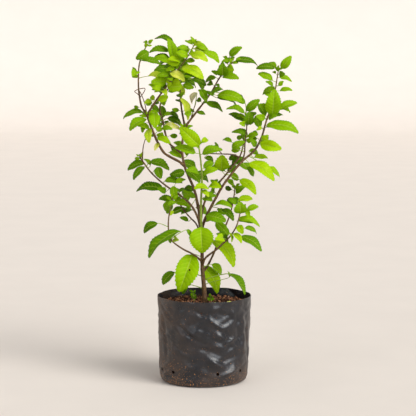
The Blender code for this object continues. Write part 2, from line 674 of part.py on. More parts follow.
def placeLeaf(node, shoots, row, placed, tubes, fixed, draw):
    """Bends one leaf clear of what is there already. Gives its surface, or None if it can't be."""
    baseX, baseZ, tipX, tipZ, looksWide, lean = row[:6]
    hold = holdingPoint(shoots, baseX, baseZ) if len(row) == 6 else row[6]
    side = draw.choice((-1, 1))
    turnWave = draw.uniform(0, 6)
    for shrink in shrinkTries:
        for shift, extra in moveTries:
            length = math.hypot(tipX - baseX, tipZ - baseZ)
            base = Vector((baseX, hold.y + lean * 0.25 + shift * 0.8, baseZ))
            if (base - hold).length < leastStalk:
                base = base + Vector((0.0, 4.0 if lean > 0 else -4.0, 1.0))
            tip = Vector((tipX, base.y + lean + extra * length, tipZ))
            tip = base.lerp(tip, shrink)
            points, faces, upper, end = leafSurface(base, tip, looksWide * shrink, side, turnWave)
            thick = leafThickness + 2 * clearSpace
            blade = thickTree(points, faces, upper, thick)
            stalk = BVHTree.FromPolygons(*stalkShape(hold, end, stalkRadius + clearSpace))
            outer = boxOf(points, thick)
            stalkBox = boxOf([hold, end], stalkRadius + clearSpace)
            foreign = list(fixed)
            own = list(tubes[node])
            ownBlades = []
            for entryNode, bladeEntry, stalkEntry in placed:
                if entryNode == node:
                    own.append(stalkEntry)
                    ownBlades.append(bladeEntry)
                else:
                    foreign.append(bladeEntry)
                    foreign.append(stalkEntry)
            for name, entries in tubes.items():
                if name != node:
                    foreign += entries
            if meets(blade, outer, foreign + own + ownBlades):
                continue
            if meets(stalk, stalkBox, foreign + ownBlades):
                continue
            bladeTree = thickTree(points, faces, upper, leafThickness)
            stalkTree = BVHTree.FromPolygons(*stalkShape(hold, end, stalkRadius))
            placed.append((node, (bladeTree, boxOf(points, leafThickness)),
                           (stalkTree, boxOf([hold, end], stalkRadius))))
            return points, faces, hold, end
    return None


def spareRows(shoots, draw):
    """Leaves that point to the front and the back, in pairs along each shoot."""
    rows = []
    for thick, thin, route in shoots:
        total = sum((Vector(b) - Vector(a)).length for a, b in zip(route[:-1], route[1:]))
        if total < spareShootLength or thin > 1.3:
            continue
        walked = 0.0
        due = spareLeafStart
        for first, second in zip(route[:-1], route[1:]):
            start = Vector(first)
            end = Vector(second)
            piece = (end - start).length
            while walked + piece > due:
                spot = start.lerp(end, (due - walked) / piece)
                for face in (-1, 1):
                    length = draw.uniform(20, 29)
                    turn = draw.uniform(-0.9, 0.9)
                    base = spot + Vector((math.sin(turn) * 7, face * 7, 3.0))
                    flat = length * 0.5
                    rows.append((base.x, base.z, base.x + math.sin(turn) * flat,
                                 base.z + draw.uniform(-8, 6), length * draw.uniform(0.35, 0.5),
                                 face * length * 0.85, spot.copy()))
                due += spareLeafSpacing
            walked += piece
    return rows


def addLeafSolid(points, faces, hold, end, collection, number):
    leaf = addMesh("leaf_%d" % number, [p * mm for p in points], faces, collection)
    thick = leaf.modifiers.new("blade", "SOLIDIFY")
    thick.thickness = leafThickness * mm
    thick.offset = 0.0
    thick.use_even_offset = False
    applyModifiers(leaf)
    facingOutward(leaf)
    stalkPoints, stalkFaces = stalkShape(hold, end, stalkRadius)
    stalk = addMesh("stalk_%d" % number, [p * mm for p in stalkPoints], stalkFaces, collection)
    facingOutward(stalk)


def joinAll(body, parts, collection):
    """Fuses the parts with the body into one solid."""
    join = body.modifiers.new("grown together", "BOOLEAN")
    join.operation = "UNION"
    join.operand_type = "COLLECTION"
    join.collection = parts
    join.solver = "MANIFOLD"
    applyModifiers(body)
    for part in list(parts.objects):
        bpy.data.objects.remove(part, do_unlink=True)


def cutAway(body, cutter):
    cut = body.modifiers.new("room for the trunk", "BOOLEAN")
    cut.operation = "DIFFERENCE"
    cut.operand_type = "OBJECT"
    cut.object = cutter
    cut.solver = "MANIFOLD"
    applyModifiers(body)


def keepLargest(thing):
    """Drops loose scraps, so that one body is left."""
    shape = bmesh.new()
    shape.from_mesh(thing.data)
    left = set(shape.verts)
    groups = []
    while left:
        start = left.pop()
        group = {start}
        edge = [start]
        while edge:
            vert = edge.pop()
            for link in vert.link_edges:
                other = link.other_vert(vert)
                if other in left:
                    left.discard(other)
                    group.add(other)
                    edge.append(other)
        groups.append(group)
    groups.sort(key=len, reverse=True)
    scraps = [vert for group in groups[1:] for vert in group]
    if scraps:
        bmesh.ops.delete(shape, geom=scraps, context="VERTS")
    shape.to_mesh(thing.data)
    shape.free()


def finish(thing, material):
    shape = bmesh.new()
    shape.from_mesh(thing.data)
    bmesh.ops.triangulate(shape, faces=shape.faces)
    shape.to_mesh(thing.data)
    shape.free()
    thing.data.materials.clear()
    thing.data.materials.append(material)
    for face in thing.data.polygons:
        face.use_smooth = False


def groundUnder(soilTree, spots, centre):
    """The highest place of the soil under a small outline."""
    highest = 0.0
    for spot in spots:
        for share in (0.0, 0.35, 0.7, 1.0, 1.1):
            place = centre.lerp(spot, share)
            hit = soilTree.ray_cast(Vector((place.x, place.y, 200.0)), Vector((0, 0, -1)))[0]
            highest = max(highest, hit.z)
    return highest


def makeFallenLeaf(name, row, collection, soilTree):
    """A small dry blade lying just over the lumps of soil."""
    across, back, turn, length = row
    heading = Vector((math.cos(math.radians(turn)), math.sin(math.radians(turn)), 0.0))
    sideways = Vector((-heading.y, heading.x, 0.0))
    centre = Vector((across, back, 0.0))
    outline = ((-0.5, 0.0), (-0.2, 0.24), (0.15, 0.22), (0.5, 0.0), (0.15, -0.22), (-0.2, -0.24))
    spots = [centre + heading * length * a + sideways * length * b for a, b in outline]
    level = groundUnder(soilTree, spots, centre) + litterLift + leafThickness / 2
    points = [Vector((spot.x, spot.y, level)) * mm for spot in spots]
    points[0].z += 1.2 * mm
    points[3].z += 1.6 * mm
    leaf = addMesh(name, points, [(0, 1, 5), (1, 2, 4), (1, 4, 5), (2, 3, 4)], collection)
    thick = leaf.modifiers.new("blade", "SOLIDIFY")
    thick.thickness = leafThickness * mm
    thick.offset = 0.0
    applyModifiers(leaf)
    facingOutward(leaf)
    return leaf


def makeWeed(name, row, collection, parts):
    """A seedling: one thin stem in its own hole with two pairs of small leaves."""
    across, back, height = row
    ground = soilHeight(across, back)
    foot = Vector((across, back, weedFoot))
    top = Vector((across - 1.0, back + 0.5, ground + height))
    body = makeTube(name, (0.8, 0.6, [tuple(foot), (across, back, ground + 2.0), tuple(top)]),
                    collection)
    count = 0
    for share, reach in ((1.0, 5.5), (0.62, 6.5)):
        for sign in (-1, 1):
            spot = Vector((across, back, ground + 2.0)).lerp(top, share - 0.04)
            lean = Vector((0.8, 0.6, 0.0)) if share < 1 else Vector((0.7, -0.7, 0.0))
            base = spot + lean * sign * 1.6 + Vector((0.0, 0.0, 0.7))
            end = base + lean * sign * reach + Vector((0.0, 0.0, 1.2))
            points, faces, _, inner = leafSurface(base, end, reach * 0.6, 1, 0.0)
            addLeafSolid(points, faces, spot, inner, parts, count)
            count += 1
    joinAll(body, parts, collection)
    return body


def build():
    clearScene()
    draw = random.Random(seed)
    plant = makeCollection("holy_basil_plant")
    cutters = makeCollection("cutters")
    cutters.hide_render = True
    parts = makeCollection("parts_to_join")
    parts.hide_render = True
    film = makeMaterial("black film", (0.022, 0.022, 0.025), 0.38)
    earth = makeMaterial("potting soil", (0.16, 0.07, 0.04), 0.95)
    green = makeMaterial("basil green", (0.17, 0.42, 0.015), 0.5)
    dry = makeMaterial("dry leaf", (0.5, 0.45, 0.12), 0.7)

    bag = makeBag(plant, cutters)
    trunkRoute = stems["main_stem"]["shoots"][0][2]
    foot = Vector((trunkRoute[0][0], trunkRoute[0][1], stemFoot)) * mm
    trunkRadius = stems["main_stem"]["shoots"][0][0]
    soil = makeSoil(plant, cutters, foot, (trunkRadius + stemHoleGap + 0.25) * mm)
    finish(bag, film)
    finish(soil, earth)
    fixed = [meshTree(bag), meshTree(soil)]

    stems["main_stem"]["shoots"][0][2].insert(0, (foot.x / mm, foot.y / mm, stemFoot))
    tubes = {}
    bodies = {}
    for node, stem in stems.items():
        tubes[node] = []
        bodies[node] = []
        for number, shoot in enumerate(stem["shoots"]):
            tube = makeTube("%s_%d" % (node, number), shoot, plant)
            bodies[node].append(tube)
            tubes[node].append(meshTree(tube))
    placed = []
    surfaces = {node: [] for node in stems}
    for node, stem in stems.items():
        for row in stem["leaves"]:
            if math.dist(row[:2], row[2:4]) < leastLeaf:
                continue
            made = placeLeaf(node, stem["shoots"], row, placed, tubes, fixed, draw)
            if made:
                surfaces[node].append(made)
    for node, stem in stems.items():
        for row in spareRows(stem["shoots"], draw):
            made = placeLeaf(node, stem["shoots"], row, placed, tubes, fixed, draw)
            if made:
                surfaces[node].append(made)
    print("leaves:", sum(len(found) for found in surfaces.values()))

    roomCutter = makeTube("trunk_room", stems["main_stem"]["shoots"][0], cutters, joinGap)
    roomCutter.display_type = "WIRE"
    total = len(bag.data.polygons) + len(soil.data.polygons)
    for node, stem in stems.items():
        body = bodies[node][0]
        for tube in bodies[node][1:]:
            plant.objects.unlink(tube)
            parts.objects.link(tube)
        for number, (points, faces, hold, end) in enumerate(surfaces[node]):
            addLeafSolid(points, faces, hold, end, parts, number)
        joinAll(body, parts, plant)
        if node != "main_stem":
            cutAway(body, roomCutter)
        keepLargest(body)
        body.name = node
        finish(body, green)
        total += len(body.data.polygons)
    bpy.data.objects.remove(roomCutter, do_unlink=True)
    for name, row in fallenLeaves.items():
        leaf = makeFallenLeaf(name, row, plant, fixed[1][0])
        finish(leaf, dry)
    for name, row in weedSprigs.items():
        weed = makeWeed(name, row, plant, parts)
        finish(weed, green)
    print("triangles of the bag, soil and stems:", total)


build()
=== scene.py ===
# Holy basil in its black film nursery bag: the looks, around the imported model
import math
import random
from itertools import pairwise
import bmesh
import bpy
from mathutils import Matrix, Quaternion, Vector, noise
from mathutils.bvhtree import BVHTree


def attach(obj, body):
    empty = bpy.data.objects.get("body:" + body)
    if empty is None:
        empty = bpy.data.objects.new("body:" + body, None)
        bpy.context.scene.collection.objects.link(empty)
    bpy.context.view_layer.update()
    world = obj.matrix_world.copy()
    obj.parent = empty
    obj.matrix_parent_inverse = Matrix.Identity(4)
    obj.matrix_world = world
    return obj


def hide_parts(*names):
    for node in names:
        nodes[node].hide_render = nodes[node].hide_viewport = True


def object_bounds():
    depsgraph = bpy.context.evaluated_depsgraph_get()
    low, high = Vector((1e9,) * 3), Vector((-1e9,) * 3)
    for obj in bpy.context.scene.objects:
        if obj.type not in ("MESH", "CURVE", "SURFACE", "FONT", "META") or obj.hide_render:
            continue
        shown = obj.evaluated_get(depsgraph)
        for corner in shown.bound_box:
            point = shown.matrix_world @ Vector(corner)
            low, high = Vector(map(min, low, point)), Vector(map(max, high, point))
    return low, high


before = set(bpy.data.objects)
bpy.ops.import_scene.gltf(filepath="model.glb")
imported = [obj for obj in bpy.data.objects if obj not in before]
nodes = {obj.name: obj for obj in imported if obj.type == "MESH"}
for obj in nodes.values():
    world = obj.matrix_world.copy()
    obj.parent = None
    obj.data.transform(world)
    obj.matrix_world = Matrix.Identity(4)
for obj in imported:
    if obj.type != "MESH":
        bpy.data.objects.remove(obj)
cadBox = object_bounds()
mm = 0.001


# General helpers

def deselectAll():
    bpy.ops.object.select_all(action="DESELECT")


def pick(thing):
    deselectAll()
    thing.select_set(True)
    bpy.context.view_layer.objects.active = thing


def applyAll(thing):
    pick(thing)
    for modifier in list(thing.modifiers):
        bpy.ops.object.modifier_apply(modifier=modifier.name)


def remove(thing):
    bpy.data.objects.remove(thing, do_unlink=True)


def linkNew(name, data):
    thing = bpy.data.objects.new(name, data)
    bpy.context.collection.objects.link(thing)
    return thing


def copyOf(master):
    return linkNew(master.name, master.data.copy())


def joinInto(name, things):
    deselectAll()
    for thing in things:
        thing.select_set(True)
    bpy.context.view_layer.objects.active = things[0]
    if len(things) > 1:
        bpy.ops.object.join()
    things[0].name = name
    things[0].data.name = name
    return things[0]


def outward(thing):
    pick(thing)
    bpy.ops.object.mode_set(mode="EDIT")
    bpy.ops.mesh.select_all(action="SELECT")
    bpy.ops.mesh.remove_doubles(threshold=0.000002)
    bpy.ops.mesh.normals_make_consistent(inside=False)
    bpy.ops.object.mode_set(mode="OBJECT")


def smoothShade(thing, degrees=None):
    pick(thing)
    if degrees is None:
        bpy.ops.object.shade_smooth()
    else:
        bpy.ops.object.shade_smooth_by_angle(angle=math.radians(degrees))


def thicken(thing, thickness, offset=0.0):
    layer = thing.modifiers.new("thickness", "SOLIDIFY")
    layer.thickness = thickness * mm
    layer.offset = offset
    applyAll(thing)


def wear(thing, material):
    thing.data.materials.clear()
    thing.data.materials.append(material)


def fillAttribute(thing, name, values):
    layer = thing.data.attributes.new(name, "FLOAT", "POINT")
    layer.data.foreach_set("value", values)


def pathLength(spots):
    return sum((end - start).length for start, end in pairwise(spots))


# A tube open at both ends, standing on the ground and left in edit mode
def openTube(name, turns, radius, height, cuts):
    deselectAll()
    bpy.ops.mesh.primitive_cylinder_add(vertices=turns, radius=radius * mm, depth=height * mm,
                                        end_fill_type="NOTHING", location=(0, 0, height / 2 * mm))
    tube = bpy.context.object
    tube.name = name
    bpy.ops.object.transform_apply(location=True, rotation=True, scale=True)
    bpy.ops.object.mode_set(mode="EDIT")
    shape = bmesh.from_edit_mesh(tube.data)
    upright = [edge for edge in shape.edges if abs(edge.verts[0].co.z - edge.verts[1].co.z) > 0.01]
    bmesh.ops.subdivide_edges(shape, edges=upright, cuts=cuts, use_grid_fill=True)
    bmesh.update_edit_mesh(tube.data)
    return tube


def selectEdges(thing, test):
    bpy.ops.mesh.select_all(action="DESELECT")
    shape = bmesh.from_edit_mesh(thing.data)
    for edge in shape.edges:
        edge.select = all(test(vert.co) for vert in edge.verts)
    bmesh.update_edit_mesh(thing.data)


# Closes the selected edge with one ring of faces after another, down to a point
def closeInRings(thing, rings, move):
    for ring in rings:
        bpy.ops.mesh.extrude_region_move()
        shape = bmesh.from_edit_mesh(thing.data)
        for vert in shape.verts:
            if vert.select:
                move(vert, ring)
        bmesh.update_edit_mesh(thing.data)
    bpy.ops.mesh.merge(type="CENTER")


# A material and a short way to write its nodes: a value is a number, a colour or a node's output

def tone(red, green, blue):
    return tuple((v / 255) ** 2.2 for v in (red, green, blue))


class Paint:
    def __init__(self, name):
        self.material = bpy.data.materials.new(name)
        self.material.use_nodes = True
        self.tree = self.material.node_tree
        self.tree.nodes.clear()
        self.shader = self.add("BsdfPrincipled")
        self.out = self.add("OutputMaterial", Surface=self.shader.outputs[0])
        self.place = self.add("TexCoord").outputs["Object"]

    def feed(self, socket, value):
        if isinstance(value, bpy.types.NodeSocket):
            self.tree.links.new(value, socket)
        elif socket.type == "RGBA":
            socket.default_value = (*value, 1.0)
        else:
            socket.default_value = value

    def add(self, kind, **settings):
        node = self.tree.nodes.new("ShaderNode" + kind)
        for key, value in settings.items():
            if key in node.inputs.keys():
                self.feed(node.inputs[key], value)
            else:
                setattr(node, key, value)
        return node

    def noise(self, scale, detail, roughness=0.5, distortion=0.0, where=None):
        return self.add("TexNoise", Vector=where or self.place, Scale=scale, Detail=detail,
                        Roughness=roughness, Distortion=distortion).outputs["Fac"]

    def attribute(self, name):
        return self.add("Attribute", attribute_name=name).outputs["Fac"]

    def axes(self, where=None):
        return self.add("SeparateXYZ", Vector=where or self.place).outputs

    def ramp(self, factor, *stops):
        made = self.add("ValToRGB", Fac=factor)
        elements = made.color_ramp.elements
        while len(elements) < len(stops):
            elements.new(0.5)
        for element, (place, colour) in zip(elements, stops):
            element.position = place
            element.color = (*colour, 1.0)
        return made.outputs["Color"]

    def mask(self, factor, low, high):
        return self.ramp(factor, (low, (0, 0, 0)), (high, (1, 1, 1)))

    def mix(self, factor, first, second):
        made = self.add("Mix", data_type="RGBA")
        for number, value in ((0, factor), (6, first), (7, second)):
            self.feed(made.inputs[number], value)
        return made.outputs[2]

    def maths(self, operation, *values, clamp=False):
        made = self.add("Math", operation=operation, use_clamp=clamp)
        for socket, value in zip(made.inputs, values):
            self.feed(socket, value)
        return made.outputs[0]

    def scaled(self, value, times, plus=0.0):
        return self.maths("MULTIPLY_ADD", value, times, plus)

    def clamped(self, value, times, plus=0.0):
        return self.maths("MULTIPLY_ADD", value, times, plus, clamp=True)

    def bump(self, height, strength, distance):
        made = self.add("Bump", Height=height, Strength=strength, Distance=distance)
        self.feed(self.shader.inputs["Normal"], made.outputs["Normal"])

    def finish(self, base, roughness, specular=0.5):
        for key, value in (("Base Color", base), ("Roughness", roughness), ("Specular IOR Level", specular)):
            self.feed(self.shader.inputs[key], value)
        return self.material


# The bag: thin black film with soft dents, sharp creases and a dusty lower band

bag = {
    "film": 0.5,
    "turns": 176,
    "rowsUp": 74,
    "bottomRadius": 54.0,
    "footRings": (0.86, 0.7, 0.5, 0.25),
    # Radius and height of the wall
    "profile": ((54.0, 0.0), (60.0, 2.6), (62.3, 9.0), (63.0, 28.0), (63.6, 50.0), (64.2, 74.0),
                (65.0, 98.0), (66.0, 121.0)),
    "profileSteps": (-4, -2, 0, 2, 4),
    "meanRadius": 62.0,
    "footShift": -1.2,
    "height": 121.0,
    "rimBand": 16.0,
    "rimWave": 0.9,
    "creaseDepth": 1.1,
    "creaseLength": 34.0,
    "foldScale": 1.8,
    "facet": 23.0,
    "facetDepth": 3.2,
    "smallDents": 0.28,
    "holeRadius": 2.2,
    "holeHeight": 20.0,
    "holeTurns": (-67.0, -43.0, 17.0, 54.0),
    "backFolds": 26,
    "frontFolds": 40,
    "seed": 11,
    # Folds: turn and height of each end, half width, and how far the film stands out there, in mm
    "folds": ((-16, 112, 4, 99, 4.5, -1.3), (4, 99, 22, 84, 4.0, 1.1), (-2, 108, 20, 113, 5.0, 0.9),
              (22, 84, 38, 90, 5.5, 1.2), (20, 82, 33, 72, 5.0, -1.4), (6, 78, 27, 70, 5.5, 1.1),
              (24, 62, 45, 68, 4.5, 1.0), (2, 44, 24, 30, 6.0, 1.3), (16, 34, 44, 44, 6.0, -1.2),
              (24, 16, 48, 26, 5.0, 1.0), (-34, 88, -14, 70, 4.0, -1.0), (-30, 92, -8, 72, 4.0, 0.8),
              (-44, 66, -40, 34, 5.0, 0.7), (-62, 96, -56, 40, 5.5, -0.9), (40, 100, 52, 60, 5.0, -0.9),
              (55, 100, 60, 44, 6.0, 0.9), (-8, 56, 18, 50, 5.0, -0.9), (30, 54, 12, 60, 4.0, 0.8),
              (-20, 30, 8, 18, 6.5, 0.8), (64, 86, 76, 30, 6.0, -0.9), (36, 110, 44, 84, 4.0, 0.9),
              (-43, 84, -16, 66, 10.0, 1.2), (-20, 112, 8, 104, 8.0, -1.0), (8, 70, 40, 82, 11.0, 1.3),
              (-2, 42, 30, 32, 11.0, 1.2), (18, 18, 50, 26, 9.0, 1.0)),
    "black": ((0.004, 0.004, 0.006), (0.009, 0.009, 0.012)),
    "dust": (0.1, 0.052, 0.026),
    "paleDust": (0.16, 0.13, 0.11),
    "specks": tone(196, 132, 78),
}


def profileAt(height):
    for below, above in pairwise(bag["profile"]):
        if height <= above[1]:
            break
    share = (height - below[1]) / (above[1] - below[1])
    return below[0] + (above[0] - below[0]) * share


def smoothProfile(height):
    if height <= 12:
        return profileAt(height)
    levels = [min(max(height + step, 0.0), bag["height"]) for step in bag["profileSteps"]]
    return sum(profileAt(level) for level in levels) / len(levels)


def around(turn, radius, height):
    return Vector((math.sin(turn) * radius, math.cos(turn) * radius, height))


def broadCrease(turn, height):
    across = math.sin(turn) * bag["meanRadius"] / bag["creaseLength"]
    back = math.cos(turn) * bag["meanRadius"] / bag["creaseLength"]
    broad = noise.noise(Vector((across, back, height / bag["creaseLength"] + across * 0.8)))
    fine = noise.noise(Vector((across * 2.3 + 7.0, back * 2.3, height / 15.0 - across * 1.6)))
    fade = min(1.0, height / 22.0) * (1.0 if height < 90.0 else 0.55)
    return bag["creaseDepth"] * fade * (broad + 0.6 * fine)


# The listed folds, then seeded ones on the back, then smaller seeded ones on the front
def allFolds():
    draw = random.Random(bag["seed"])
    folds = list(bag["folds"])
    for _ in range(bag["backFolds"]):
        turn = draw.uniform(80, 280)
        height = draw.uniform(14, 110)
        folds.append((turn, height, turn + draw.uniform(-24, 24), height + draw.uniform(-24, 24),
                      draw.uniform(3.5, 6.0), draw.choice((-1, 1)) * draw.uniform(0.7, 1.3)))
    for _ in range(bag["frontFolds"]):
        turn = draw.uniform(-66, 66)
        height = draw.uniform(16, 112)
        slope = draw.choice((-1, 1)) * draw.uniform(0.35, 0.9)
        reach = draw.uniform(7, 18)
        folds.append((turn - reach, height + slope * reach, turn + reach, height - slope * reach,
                      draw.uniform(2.8, 5.0), draw.choice((-1, 1)) * draw.uniform(0.3, 0.6)))
    return folds


def foldShift(folds, turn, height):
    total = 0.0
    degrees = math.degrees(turn)
    perDegree = 1.08
    for startTurn, startHeight, endTurn, endHeight, half, depth in folds:
        away = (degrees - startTurn + 180) % 360 - 180
        if abs(away) > 60:
            continue
        x = away * perDegree
        y = height - startHeight
        dx = (endTurn - startTurn) * perDegree
        dy = endHeight - startHeight
        length = math.hypot(dx, dy)
        along = (x * dx + y * dy) / length
        side = abs(x * dy - y * dx) / length
        if side > half or along < -half or along > length + half:
            continue
        ends = min(1.0, (along + half) / (half * 2.5), (length + half - along) / (half * 2.5))
        total += depth * (1 - side / half) * max(0.0, ends)
    return total


# Flat facets with sharp ridges between them, strongest a little right of the front
def crumple(turn, height):
    spot = around(turn, bag["meanRadius"], height)
    wide = noise.voronoi(spot / bag["facet"])[0][0]
    narrow = noise.voronoi(spot / bag["facet"] * 2.1 + Vector((3.0, 1.0, 5.0)))[0][0]
    share = 0.35 + 0.65 * max(0.0, math.cos(turn - 0.3)) ** 2
    return bag["facetDepth"] * share * ((0.45 - wide) + 0.35 * (0.45 - narrow))


def filmPoint(turn, radius, height):
    return Vector((math.sin(turn) * radius, -math.cos(turn) * radius, height)) * mm


def rimShare(height):
    return max(0.0, (height - bag["height"] + bag["rimBand"]) / bag["rimBand"])


# Outside radius of the film, with its creases, folds and facets
def filmOuter(folds, turn, height):
    fade = min(1.0, height / 14.0)
    radius = smoothProfile(height) + broadCrease(turn, height)
    radius += foldShift(folds, turn, height) * fade * bag["foldScale"]
    radius += bag["smallDents"] * noise.noise(around(turn, 8, height / 8.0)) * fade
    radius += crumple(turn, height) * fade
    return radius + rimShare(height) * 0.5 * math.sin(turn * 5 + 1.0) * math.sin(turn * 2)


def footLean(height):
    return bag["footShift"] * (1 - height / bag["height"]) * mm


def closeFoot(vert, share):
    vert.co = Vector((vert.co.x, vert.co.y, 0)).normalized() * bag["bottomRadius"] * share * mm


def modelBag():
    folds = allFolds()
    film = openTube("bagFilm", bag["turns"], bag["bottomRadius"], bag["height"], bag["rowsUp"])
    selectEdges(film, lambda spot: spot.z < 1e-5)
    closeInRings(film, bag["footRings"], closeFoot)
    bpy.ops.object.mode_set(mode="OBJECT")
    for vert in film.data.vertices:
        height = vert.co.z / mm
        if height > 0.2:
            turn = math.atan2(vert.co.x, -vert.co.y)
            rise = rimShare(height) * bag["rimWave"] * noise.noise(around(turn, 2, 3.0))
            vert.co = filmPoint(turn, filmOuter(folds, turn, height), height + rise)
        vert.co.x += footLean(height)
    outward(film)
    thicken(film, bag["film"], -1.0)
    punches = []
    for side in (0.0, 180.0):
        for turn in bag["holeTurns"]:
            angle = math.radians(turn + side)
            deselectAll()
            bpy.ops.mesh.primitive_cylinder_add(vertices=18, radius=bag["holeRadius"] * mm,
                                                depth=10 * mm, rotation=(math.pi / 2, 0, angle),
                                                location=filmPoint(angle, 61.8, bag["holeHeight"]))
            punches.append(bpy.context.object)
    punch = joinInto("drainPunch", punches)
    cut = film.modifiers.new("drain holes", "BOOLEAN")
    cut.operation = "DIFFERENCE"
    cut.solver = "EXACT"
    cut.object = punch
    applyAll(film)
    remove(punch)
    smoothShade(film, 38)
    return film


def filmMaterial():
    paint = Paint("black film with dust")
    x, _, z = paint.axes()
    cloudy = paint.noise(28.0, 5.0, 0.6)
    patchy = paint.noise(60.0, 6.0, 0.65, 0.6)
    specks = paint.noise(680.0, 2.0)
    finer = paint.noise(900.0, 2.0)
    low = paint.clamped(z, -26.0, 1.0)
    leftSide = paint.clamped(x, -11.0, 0.02)
    sides = paint.clamped(paint.maths("ABSOLUTE", x), 16.0, -0.62)
    dusty = paint.scaled(leftSide, 0.6, paint.scaled(low, 0.28, 0.04))
    dusty = paint.scaled(sides, 0.3, dusty)
    dust = paint.clamped(dusty, paint.mask(cloudy, 0.38, 0.68))
    dust = paint.clamped(paint.mask(patchy, 0.5, 0.78), 0.14, dust)
    base = paint.mix(dust, paint.mix(cloudy, *bag["black"]), bag["dust"])
    speckled = paint.scaled(leftSide, 0.07, paint.scaled(low, 0.1, -0.73))
    speckMask = paint.clamped(paint.maths("ADD", specks, speckled), 30.0)
    base = paint.mix(speckMask, base, bag["specks"])
    base = paint.mix(paint.clamped(paint.scaled(finer, 1.0, -0.755), 30.0), base, bag["paleDust"])
    relief = paint.add("TexVoronoi", Vector=paint.place, Scale=85.0).outputs["Distance"]
    relief = paint.scaled(relief, -0.35, paint.noise(52.0, 4.0, 0.55, 1.0))
    for lean, weight in ((0.75, 0.4), (-0.6, 0.3)):
        slant = paint.add("Mapping", Vector=paint.place, Rotation=(0.0, lean, 0.0), Scale=(0.3, 0.3, 1.0))
        creases = paint.noise(130.0, 3.0, where=slant.outputs[0])
        relief = paint.scaled(creases, weight, relief)
    paint.bump(relief, 0.35, 0.0026)
    return paint.finish(base, paint.clamped(dust, 0.45, paint.scaled(cloudy, 0.2, 0.2)))


filmPiece = modelBag()
wear(filmPiece, filmMaterial())
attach(filmPiece, "root")
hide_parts("grow_bag")
print("bag:", len(filmPiece.data.polygons), "faces")


# Potting soil: a lumpy plug that follows the film, strewn with crumbs

soil = {
    "level": 110.0,
    "gap": 1.0,
    "slack": 4.0,
    "lump": 2.2,
    "turns": 96,
    "rings": 40,
    "levels": (1.4, 9.0, 28.0, 50.0, 74.0, 98.0),
    "bottomRadius": 52.5,
    "crumbs": 2300,
    "crumbSize": 0.5,
    "crumbMore": 3.0,
    "crumbReach": 59.0,
    "crumbEdge": 61.0,
    "trunkAcross": 0.4,
    "trunkRoom": 5.5,
    "seed": 3,
}


def soilHeight(x, y):
    broad = noise.noise(Vector((x / 22.0, y / 22.0, 1.5)))
    fine = noise.noise(Vector((x / 8.0, y / 8.0, 4.5)))
    mound = 2.0 * math.exp(-(x * x + y * y) / 500.0)
    mound += 3.0 * math.exp(-((x - 36.0) ** 2 + (y - 6.0) ** 2) / 700.0)
    return soil["level"] + soil["lump"] * (0.7 * broad + 0.5 * fine) + mound


def crumbledHeight(x, y):
    lumps = noise.fractal(Vector((x / 5.0, y / 5.0, 0.0)), 0.7, 2.1, 4)
    cells = noise.voronoi(Vector((x / 6.0, y / 6.0, 2.0)))[0][0]
    return soilHeight(x, y) + 1.3 * lumps + 2.4 * (0.45 - cells)


def closeTop(vert, ring):
    share = 1 - ring / soil["rings"]
    last = 1 - (ring - 1) / soil["rings"]
    vert.co.x *= share / last
    vert.co.y *= share / last
    vert.co.z = crumbledHeight(vert.co.x / mm, vert.co.y / mm) * mm


def modelSoil():
    plug = openTube("soilPlug", soil["turns"], 50.0, 50.0, len(soil["levels"]) - 1)
    shape = bmesh.from_edit_mesh(plug.data)
    spots = sorted({round(vert.co.z, 5) for vert in shape.verts})
    levels = (*soil["levels"], soil["level"] - 1.0)
    folds = allFolds()
    for vert in shape.verts:
        turn = math.atan2(vert.co.x, -vert.co.y)
        level = levels[spots.index(round(vert.co.z, 5))]
        radius = filmOuter(folds, turn, level) - soil["gap"] if level > 2 else soil["bottomRadius"]
        if 2 < level < 100:
            radius -= soil["slack"]
        vert.co = filmPoint(turn, radius, level)
        vert.co.x += footLean(level)
    bmesh.update_edit_mesh(plug.data)
    selectEdges(plug, lambda spot: spot.z > (soil["level"] - 1.5) * mm)
    closeInRings(plug, range(1, soil["rings"]), closeTop)
    selectEdges(plug, lambda spot: spot.z < 2 * mm)
    bpy.ops.mesh.edge_face_add()
    bpy.ops.object.mode_set(mode="OBJECT")
    outward(plug)
    smoothShade(plug, 50)
    return plug


def masterCrumb(number, draw):
    deselectAll()
    bpy.ops.mesh.primitive_ico_sphere_add(subdivisions=1 if number < 4 else 2, radius=1.0)
    bpy.ops.object.mode_set(mode="EDIT")
    bpy.ops.mesh.select_all(action="SELECT")
    bpy.ops.transform.resize(value=(1.0, draw.uniform(0.4, 0.85), draw.uniform(0.35, 0.7)))
    bpy.ops.transform.vertex_random(offset=0.42, seed=number + 2)
    bpy.ops.object.mode_set(mode="OBJECT")
    return bpy.context.object


# A few shapes of crumb, each copied many times with its own size and turn
def modelCrumbs():
    draw = random.Random(soil["seed"])
    masters = [masterCrumb(number, draw) for number in range(5)]
    crumbs = []
    while len(crumbs) < soil["crumbs"]:
        turn = draw.uniform(0, 2 * math.pi)
        away = soil["crumbReach"] * math.sqrt(draw.random())
        x = math.sin(turn) * away
        y = -math.cos(turn) * away
        if math.hypot(x - soil["trunkAcross"], y) < soil["trunkRoom"]:
            continue
        size = min(soil["crumbSize"] + soil["crumbMore"] * draw.random() ** 5, soil["crumbEdge"] - away)
        crumb = copyOf(masters[draw.randrange(5)])
        place = Matrix.Translation(Vector((x, y, crumbledHeight(x, y) + size * 0.25)) * mm)
        angle = draw.uniform(0, 6.28)
        axis = Vector((draw.uniform(-1, 1), draw.uniform(-1, 1), 1))
        crumb.data.transform(place @ Matrix.Rotation(angle, 4, axis) @ Matrix.Scale(size * mm, 4))
        fillAttribute(crumb, "own", [draw.uniform(0.0, 0.85)] * len(crumb.data.vertices))
        crumbs.append(crumb)
    for master in masters:
        remove(master)
    joined = joinInto("soilCrumbs", crumbs)
    smoothShade(joined, 15)
    return joined


